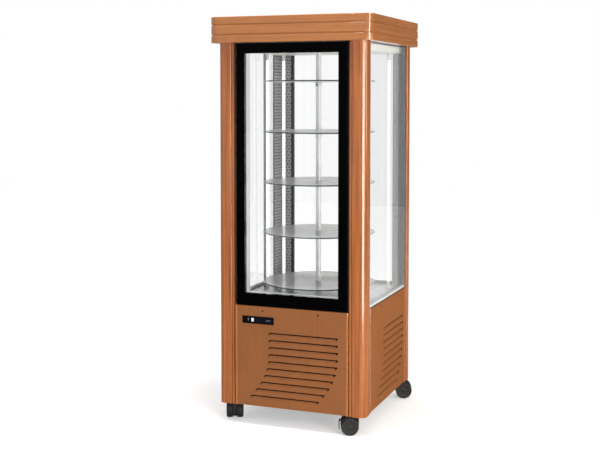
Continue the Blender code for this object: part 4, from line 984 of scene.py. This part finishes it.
BARREL_EDGE = 0.0006


def in_castor(piece, place):
    """Move a mesh from a castor's own frame, where it trails towards +Y, to its corner."""
    _, x, y, turn = place
    stem = Matrix.Translation((x * (HALF_X - CASTOR_INSET), y * (HALF_Y - CASTOR_INSET), 0))
    piece.data.transform(stem @ Matrix.Rotation(math.radians(turn), 4, "Z"))
    return piece


def wheel_rings(side):
    """Half profile of one wheel, from its outer face to its inner one: a shallow domed cap, a
    turned step, the round shoulders of the tread and a fine groove round its middle."""
    outer = WHEEL_GAP / 2 + WHEEL_WIDTH
    inner = WHEEL_GAP / 2
    shoulder = arc((WHEEL_RADIUS - SHOULDER, outer - SHOULDER), SHOULDER, math.pi / 2, 0, 6)
    under = arc((WHEEL_RADIUS - SHOULDER, inner + SHOULDER), SHOULDER, 0, -math.pi / 2, 6)
    middle = (outer + inner) / 2
    floor_of_groove = WHEEL_RADIUS - TREAD_GROOVE
    groove = [(WHEEL_RADIUS, middle + 0.0008), (floor_of_groove, middle + 0.0004),
              (floor_of_groove, middle - 0.0004), (WHEEL_RADIUS, middle - 0.0008)]
    cap = [(radius, outer - depth) for radius, depth in CAP_PROFILE]
    back = [(0.012, inner), (HUB_HOLE, inner + 0.001)]
    profile = cap + shoulder.tolist() + groove + under.tolist() + back
    return [(radius, side * height) for radius, height in profile]


def castor_wheels(place):
    """The two wheels of a castor on their axle."""
    name = place[0]
    centre = (0, CASTOR_TRAIL, AXLE_HEIGHT)
    parts = [turned("wheel", "X", centre, wheel_rings(side), 72) for side in (1, -1)]
    reach = WHEEL_GAP / 2 + AXLE_REACH
    parts.append(turned("axle", "X", centre, [(AXLE_RADIUS, -reach), (AXLE_RADIUS, reach)], 24))
    piece = in_castor(joined("wheel_pair_" + name, parts), place)
    ride(dress(piece, CASTOR), "wheels_" + name, "castor_plastic", "castor_wheels_" + name)


def hood_rings():
    """Rings of the hood's arched shell along the axle. Both ends follow eased(), but the arcs
    shrink by only 0.6 of what it says."""
    axle = (CASTOR_TRAIL, AXLE_HEIGHT)
    reach = WHEEL_GAP / 2 + WHEEL_WIDTH
    end = [(inset * 0.6, rise) for inset, rise in eased(HOOD_EDGE)]
    rings = []
    for drop, along in mirrored(end, 2 * reach):
        inner = HOOD_RADIUS - HOOD_SHEET - drop * 0.2
        over = arc(axle, HOOD_RADIUS - drop, HOOD_START, HOOD_END, 24)
        under = arc(axle, inner, HOOD_END, HOOD_START, 24)
        rings.append(placed(np.concatenate([over, under]), "X", along - reach))
    return rings


def castor_hood(place):
    """The hood: an arched shell, a round web between the wheels with a rib up to the shell, the
    neck, and the swivel ring under the plate. The braked ones have an arm for the pedal."""
    name = place[0]
    parts = [loft("shell", hood_rings())]
    half = WHEEL_GAP / 2 - 0.001
    rim = WEB_RADIUS - WEB_EDGE
    web = mirrored([(HUB_HOLE, -half), (rim, -half), (WEB_RADIUS, -half + WEB_EDGE)])
    parts.append(turned("web", "X", (0, CASTOR_TRAIL, AXLE_HEIGHT), web, 48))
    axle = (CASTOR_TRAIL, AXLE_HEIGHT)
    rib = arc(axle, HOOD_RADIUS - 0.001, HOOD_START + RIB_ANGLE, HOOD_END - RIB_ANGLE, 20)
    loop = np.concatenate([rib, [axle]])
    parts.append(loft("rib", [placed(loop, "X", -half + SEAT), placed(loop, "X", half - SEAT)]))
    neck = half - 2 * SEAT
    low, high = (-neck, -neck, AXLE_HEIGHT), (neck, CASTOR_TRAIL, NECK_TOP)
    parts.append(slab("neck", "Z", low, high, 0.004, 0.001, 3))
    parts.append(turned("swivel", "Z", (0, 0, 0), SWIVEL_PROFILE, 40))
    if name.startswith("front"):
        low = (-neck, CASTOR_TRAIL + 0.017, PEDAL_TOP - 0.003)
        high = (neck, CASTOR_TRAIL + WHEEL_RADIUS + 0.0022, PEDAL_TOP + 0.0015)
        parts.append(slab("arm", "Z", low, high, 0.001, 0.0006, 3))
    piece = in_castor(joined("hood_shell_" + name, parts), place)
    ride(dress(piece, CASTOR), "castor_" + name, "castor_plastic", "castor_hood_" + name)


def castor_pedal(place):
    """The brake pedal: a barrel on its pin, and a ribbed plate with a thick foot lip."""
    name = place[0]
    y = PEDAL_AXIS
    end = PEDAL_HALF - BARREL_EDGE
    barrel = mirrored([(BARREL_RADIUS - BARREL_EDGE, -PEDAL_HALF), (BARREL_RADIUS, -end)])
    parts = [turned("barrel", "X", (0, y, PEDAL_TOP), barrel, 24)]
    high = (PEDAL_HALF, y + PEDAL_SHEET, PEDAL_TOP)
    parts.append(slab("plate", "X", (-PEDAL_HALF, y, PEDAL_FOOT + 0.0002), high, 0.0012, 0.0008, 3))
    low, high = (-PEDAL_HALF + 0.0002, y - 0.0008, PEDAL_FOOT), (PEDAL_HALF - 0.0002, y + 0.0036, 0.029)
    parts.append(slab("lip", "X", low, high, 0.002, 0.001, 3))
    for x in (-0.007, 0, 0.007):
        low, high = (x - 0.0009, y + 0.0024, 0.031), (x + 0.0009, y + 0.0038, 0.054)
        parts.append(slab("rib", "X", low, high, 0.0006, 0.0004, 3))
    piece = in_castor(joined("pedal_" + name, parts), place)
    ride(dress(piece, CASTOR), "pedal_" + name, "castor_plastic", "brake_pedal_" + name)


def castors():
    """Four castors. Only the front ones have a brake."""
    for place in CASTORS:
        castor_wheels(place)
        castor_hood(place)
        if place[0].startswith("front"):
            castor_pedal(place)


# Small parts on the panels

FACE = 0.003             # how far the panels' faces lie behind the posts'
SCREW_RADIUS = 0.0040
SCREW_PROFILE = (        # (share of the radius, height over the face)
    (1.0, 0.0), (1.0, 0.0004), (0.92, 0.0009), (0.72, 0.0014), (0.5, 0.0016), (0.42, 0.0016), (0.40, 0.0006),
)
FRONT_SCREWS = ((-0.1365, 0.5258), (0.1303, 0.5258))
SIDE_SCREWS = ((-0.111, 0.535), (0.1785, 0.535))
FOLD_WIDTH = 0.012
FOLD_DEPTH = 0.009
FOLD_PROUD = 0.0018
FOLD_ROUND = 0.0050
FOLD_END = 0.0005
LOUVRE_ROWS = 10
STRAIGHT_ROWS = 3        # rows above the flare
LOUVRE_TOP = 0.430
LOUVRE_PITCH = 0.0324
LOUVRE_WIDTH = 0.328
LOUVRE_HEIGHT = 0.014
LOUVRE_FLARE = 0.0892
LOUVRE_SLANT = 0.010
LOUVRED = (              # (first slot's left end, way of the flare, half the case's size, turn)
    (-0.1016, 1, HALF_Y, 0), (-0.078, 1, HALF_X, 90), (-0.25, -1, HALF_X, -90), (-0.164, 0, HALF_Y, 180),
)
LEAF = 0.0006
BLADE_FOOT = (0.0018, 0.0032, 0.0003, 0.0004)    # off the left end, the right end and the edge; depth
# At the top the leaf stays farther off the right end, so that a wider wedge of the black piece shows there:
# painted shadow.
BLADE_TOP = (0.0042, 0.0135, 0.0060, 0.0026)
# The black piece deep in each slot, seen in the gap above the blade: painted shade.
PAINTED_SHADE_DEPTHS = (0.0002, 0.0002, 0.0002, 0.0038)
STRIP_FRONT = 0.3643     # how far forward the control strip's face lies
MARK_LOW = (-0.2062, 0.4785)
MARK_HIGH = (-0.2036, 0.4915)
DIGITS = ("abged", "abcdefg", "abc")     # the bars that are lit, in the usual letters
DIGITS_LEFT = -0.1185
DIGIT_PITCH = 0.0085
DIGIT_LOW = 0.4785
DIGIT_HEIGHT = 0.0085
DIGIT_WIDTH = 0.0052
BAR = 0.0009
BAR_GAP_SHARE = 0.6      # of a bar's width, from a side bar's end to the corner
PINS = ((-0.007, -0.0015), (0.0, 0.003), (0.007, -0.0015))
PIN_HALF = (0.001, 0.0025)
PIN_REACH = 0.0012
SHROUD_HALF = (0.0150, 0.0100)
SHROUD_WALL = 0.0015
INLET_SEAT = 0.0005


def slot_pieces(name, foot, top):
    """One leaf in each of the forty louvre slots. Foot and top give, at the slot's lower and upper
    edge, how far a leaf stays off the left end, the right end and the edge, and how deep it lies.
    Row r starts at LOUVRE_TOP - r * LOUVRE_PITCH, and the flare shifts it by
    LOUVRE_FLARE * (max(0, r - 3) / 6) ** 2."""
    row = np.arange(LOUVRE_ROWS)
    bend = np.maximum(0, row - STRAIGHT_ROWS) / (LOUVRE_ROWS - 1 - STRAIGHT_ROWS)
    shift = LOUVRE_FLARE * bend ** 2
    upper = LOUVRE_TOP - row * LOUVRE_PITCH
    corners = []
    for first, flare, half, turn in LOUVRED:
        left = first - flare * shift
        lower_left = left - flare * LOUVRE_SLANT
        lower = upper - LOUVRE_HEIGHT + foot[2]
        ends = []
        for leaf, start, height in ((foot, lower_left, lower), (top, left, upper - top[2])):
            for x in (start + leaf[0], start + LOUVRE_WIDTH - leaf[1]):
                for thick in (0.0, LEAF):
                    y = np.full(LOUVRE_ROWS, FACE - half + leaf[3] + thick)
                    ends.append(np.stack([x, y, height], -1))
        x, y, z = np.moveaxis(np.stack(ends, 1), -1, 0)
        c, q = round(math.cos(math.radians(turn))), round(math.sin(math.radians(turn)))
        corners.append(np.stack([c * x - q * y, q * x + c * y, z], -1))
    points = np.concatenate(corners).reshape(-1, 3)
    box = np.array([[0, 2, 6, 4], [1, 5, 7, 3], [0, 1, 3, 2], [4, 6, 7, 5], [0, 4, 5, 1], [2, 3, 7, 6]])
    faces = (np.arange(len(points) // 8)[:, None, None] * 8 + box).reshape(-1, 4)
    return mesh_object(name, points, faces.tolist(), smooth=False)


def louvres():
    """In each slot a pressed blade that leans in towards its top, before the dark of the case,
    which is a black piece deep in the slot: painted shade in the gap above the blade, and a painted
    shadow in the wider gap at its right end.
    """
    blades = slot_pieces("louvre_blades", BLADE_FOOT, BLADE_TOP)
    ride(dress(blades, PANEL_COPPER), "cabinet", "copper_paint")
    # A black piece deep in each slot: painted shade.
    painted_shade = slot_pieces("louvre_painted_shade", PAINTED_SHADE_DEPTHS, PAINTED_SHADE_DEPTHS)
    ride(dress(painted_shade, BLACK_PLASTIC_AND_PAINTED_SHADE), "cabinet", "copper_paint")


def panel_folds():
    """The rounded fold down both sides of every panel, as upright slabs half sunk in its face. The
    folds take the crown's lighter, glossier lacquer instead of the panel's paint: a real highlight
    from the coat, and a painted highlight from the lighter colour.
    """
    folds = []
    for name, along, way in PANELS:
        low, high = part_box(name)
        face = way * ((HALF_Y, HALF_X)[along] - FACE)
        depths = sorted((face - way * FOLD_DEPTH, face + way * FOLD_PROUD))
        for start in (low[along], high[along] - FOLD_WIDTH):
            ends = (start, start + FOLD_WIDTH)
            x, y = (ends, depths) if along == 0 else (depths, ends)
            corners = (x[0], y[0], low.z), (x[1], y[1], high.z)
            folds.append(slab("fold", "Z", *corners, FOLD_ROUND, FOLD_END, 6))
    # Crown lacquer on the folds: painted highlight.
    ride(dress(joined("panel_folds", folds), CROWN_COPPER), "cabinet", "copper_paint")


def screw(axis, place, way):
    """A button head with a round socket, from the panel's face outwards."""
    profile = [(SCREW_RADIUS * share, way * height) for share, height in SCREW_PROFILE]
    return turned("screw", axis, place, profile, 24)


def panel_screws():
    """Two screws in the upper margin of every panel."""
    y, x = HALF_Y - FACE, HALF_X - FACE
    front = [screw("Y", (u, -y, v), -1) for u, v in FRONT_SCREWS]
    rear = [screw("Y", (u, y, v), 1) for u, v in FRONT_SCREWS]
    right = [screw("X", (x, u, v), 1) for u, v in SIDE_SCREWS]
    left = [screw("X", (-x, u, v), -1) for u, v in SIDE_SCREWS]
    screws = joined("panel_screws", front + rear + right + left)
    ride(dress(screws, SCREW_BLACK), "cabinet", "copper_paint")


def digit_bars(left, lit):
    """The lit bars of one digit: a, g and d lie level from top to bottom, f and e stand on the
    left and b and c on the right."""
    middle, top = DIGIT_LOW + DIGIT_HEIGHT / 2, DIGIT_LOW + DIGIT_HEIGHT
    right = left + DIGIT_WIDTH
    level = {"d": DIGIT_LOW, "g": middle, "a": top}
    upright = {"e": (left, DIGIT_LOW), "f": (left, middle), "c": (right, DIGIT_LOW), "b": (right, middle)}
    bars = []
    for key in lit:
        if key in level:
            low, high = (left + BAR, level[key] - BAR / 2), (right - BAR, level[key] + BAR / 2)
        else:
            x, z = upright[key]
            gap = BAR * BAR_GAP_SHARE
            low, high = (x - BAR / 2, z + gap), (x + BAR / 2, z + DIGIT_HEIGHT / 2 - gap)
        low, high = (low[0], -STRIP_FRONT - 0.0002, low[1]), (high[0], -STRIP_FRONT + 0.0003, high[1])
        bars.append(slab("bar", "Y", low, high, 0.0003, 0.00005, 2))
    return bars


def strip_marks():
    """On the control strip: a pale position mark, and dim segment digits behind the window."""
    low = (MARK_LOW[0], -STRIP_FRONT - 0.0003, MARK_LOW[1])
    high = (MARK_HIGH[0], -STRIP_FRONT + 0.0006, MARK_HIGH[1])
    mark = slab("strip_mark", "Y", low, high, 0.001, 0.0001, 3)
    ride(dress(mark, MARK_GREY), "cabinet", "black_plastic")
    bars = []
    for place, lit in enumerate(DIGITS):
        bars += digit_bars(DIGITS_LEFT + place * DIGIT_PITCH, lit)
    ride(dress(joined("display_digits", bars), DIGIT_GLOW), "cabinet", "display_window")


def inlet_pins():
    """Three flat pins and a raised shroud on the power inlet at the rear."""
    low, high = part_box("power_inlet")
    x, z = (low.x + high.x) / 2, (low.z + high.z) / 2
    u, v = SHROUD_HALF
    outer = np.array([x - u, x + u, z - v, z + v])
    inner = outer + INWARDS * SHROUD_WALL
    shroud = ring_sheet("inlet_shroud", "Y", outer, inner, high.y - INLET_SEAT, high.y + SHROUD_WALL)
    ride(dress(shroud, BLACK_PLASTIC_AND_PAINTED_SHADE), "cabinet", "black_plastic")
    pins = []
    for across, up in PINS:
        foot = (x + across - PIN_HALF[0], high.y - INLET_SEAT, z + up - PIN_HALF[1])
        tip = (x + across + PIN_HALF[0], high.y + PIN_REACH, z + up + PIN_HALF[1])
        pins.append(slab("pin", "Y", foot, tip, 0.0006, 0.0004, 3))
    ride(dress(joined("inlet_pins", pins), STEEL), "cabinet", "zinc")


# Stage

FLOOR_GLOW = 0.38
FLOOR_COLOUR = 0.94
SKY_LOW = 0.50
SKY_HIGH = 0.72
SHADED_SIDE = (0.42, 0.90, 0.0)   # where the studio's backdrop is grey in reflections
SHADED_LEVEL = 0.12
FLOOR_REACH = 9.0
FLOOR_CELLS = 8
LIGHTS = (               # (name, place, aim, size, watts, colour)
    ("Top light", (0.05, -0.60, 3.3), (0, -0.1, 1.0), (0.5, 0.5), 60, (1.0, 1.0, 1.0)),
    ("Post light", (2.21, -2.01, 0.97), (0.3, -0.3, 0.97), (0.5, 1.75), 30, (1.0, 1.0, 1.0)),
    ("Side light", (3.2, 0.5, 1.5), (0.35, 0.1, 1.3), (0.8, 0.8), 24, (1.0, 0.84, 0.56)),
)
GLEAMS = (
    ("Post gleam", (2.21, -2.01, 0.90), (0.3, -0.3, 0.90), (1.5, 1.8), 215, (1.0, 0.95, 0.86)),
    ("Crown gleam", (2.80, -1.05, 2.0), (0.38, -0.38, 1.8), (0.2, 0.55), 26, (1.0, 0.9, 0.76)),
)


def backdrop():
    """White to the camera and through glass, white with a grey side in reflections, and otherwise
    a plain level of light, a little brighter from above than from below."""
    world = bpy.data.worlds.new("Room light")
    bpy.context.scene.world = world
    world.use_nodes = True
    nodes = Nodes(world.node_tree)
    shader = world.node_tree.nodes["Background"]
    path = nodes.add("ShaderNodeLightPath")
    seen = nodes.maths("MAXIMUM", path.outputs["Is Camera Ray"], path.outputs["Is Transmission Ray"])
    place = nodes.add("ShaderNodeTexCoord").outputs["Generated"]
    split = nodes.fill(nodes.add("ShaderNodeSeparateXYZ"), Vector=place)
    level = nodes.spread(split["Z"], -0.3, 0.9, SKY_LOW, SKY_HIGH)
    towards = nodes.add("ShaderNodeVectorMath", operation="DOT_PRODUCT")
    nodes.link(place, towards.inputs[0])
    towards.inputs[1].default_value = Vector(SHADED_SIDE).normalized()
    mirrored = nodes.spread(towards.outputs["Value"], 0.15, 0.95, 1.0, SHADED_LEVEL)
    level = nodes.mix(path.outputs["Is Glossy Ray"], level, mirrored)
    nodes.fill(shader, Color=nodes.mix(seen, level, (1.0, 1.0, 1.0, 1.0)), Strength=1.0)


def floor():
    """A white floor that keeps the case's soft shadow: a diffuse sheet with a faint glow. It is
    grey in reflections, like the shaded side of the backdrop."""
    grid = np.linspace(-FLOOR_REACH, FLOOR_REACH, FLOOR_CELLS + 1)
    x, y = np.meshgrid(grid, grid)
    points = np.stack([x, y, np.zeros_like(x)], -1)
    row, column = np.indices((FLOOR_CELLS, FLOOR_CELLS))
    first = row * (FLOOR_CELLS + 1) + column
    above = first + FLOOR_CELLS + 1
    faces = np.stack([first, first + 1, above + 1, above], -1).reshape(-1, 4).tolist()
    piece = mesh_object("floor", points, faces, smooth=False)
    material, nodes, shader = new_material("White floor")
    path = nodes.add("ShaderNodeLightPath").outputs
    through = nodes.maths("MINIMUM", path["Is Glossy Ray"], path["Is Transmission Ray"])
    mirrored = nodes.maths("SUBTRACT", path["Is Glossy Ray"], through)
    level = nodes.maths("SUBTRACT", 1.0, nodes.maths("MULTIPLY", mirrored, 0.5))
    grey = nodes.maths("MULTIPLY", level, FLOOR_COLOUR)
    glow = nodes.maths("MULTIPLY", nodes.maths("SUBTRACT", 1.0, mirrored), FLOOR_GLOW)
    nodes.fill(
        shader, Base_Color=nodes.mix(grey, (0.0, 0.0, 0.0, 1.0), (1.0, 1.0, 1.0, 1.0)), Roughness=0.9,
        Specular_IOR_Level=0.1, Emission_Color=(1, 1, 1, 1), Emission_Strength=glow,
    )
    dress(piece, material)


def area_light(name, place, aim, size, power, colour):
    """A rectangular light that the camera and glass don't see."""
    light = bpy.data.lights.new(name, "AREA")
    light.shape = "RECTANGLE"
    light.size, light.size_y = size
    light.energy = power
    light.color = colour
    piece = scene_object(name, light)
    piece.location = place
    piece.rotation_euler = (Vector(aim) - Vector(place)).to_track_quat("-Z", "Y").to_euler()
    piece.visible_camera = False
    piece.visible_transmission = False
    return piece


def lights():
    """A soft light from above, a broad one at the right front and a small warm one at the right.
    Two lights show only as mirror images: the cream line on the posts and the white one on the
    crown's corner."""
    for light in LIGHTS:
        area_light(*light)
    for light in GLEAMS:
        area_light(*light).visible_diffuse = False


def camera():
    """The photograph's camera, with the shift that its framing needs."""
    lens = bpy.data.cameras.new("Camera")
    lens.sensor_fit = "HORIZONTAL"
    lens.sensor_width = SENSOR
    lens.lens = SENSOR * FOCAL_PIXELS / PICTURE_WIDTH
    lens.shift_y = -CENTRE_RISE / PICTURE_WIDTH
    piece = scene_object("Camera", lens)
    piece.location = CAMERA_PLACE
    piece.rotation_euler = (math.pi / 2 + CAMERA_PITCH, 0, CAMERA_YAW)
    bpy.context.scene.camera = piece


# Assembly


def main():
    """Make everything."""
    bpy.context.scene.view_settings.view_transform = "Standard"
    paint_solids()
    posts()
    crown()
    glazing()
    door()
    ducts()
    lamps()
    carousel()
    castors()
    louvres()
    panel_folds()
    panel_screws()
    strip_marks()
    inlet_pins()
    backdrop()
    floor()
    lights()
    camera()


main()
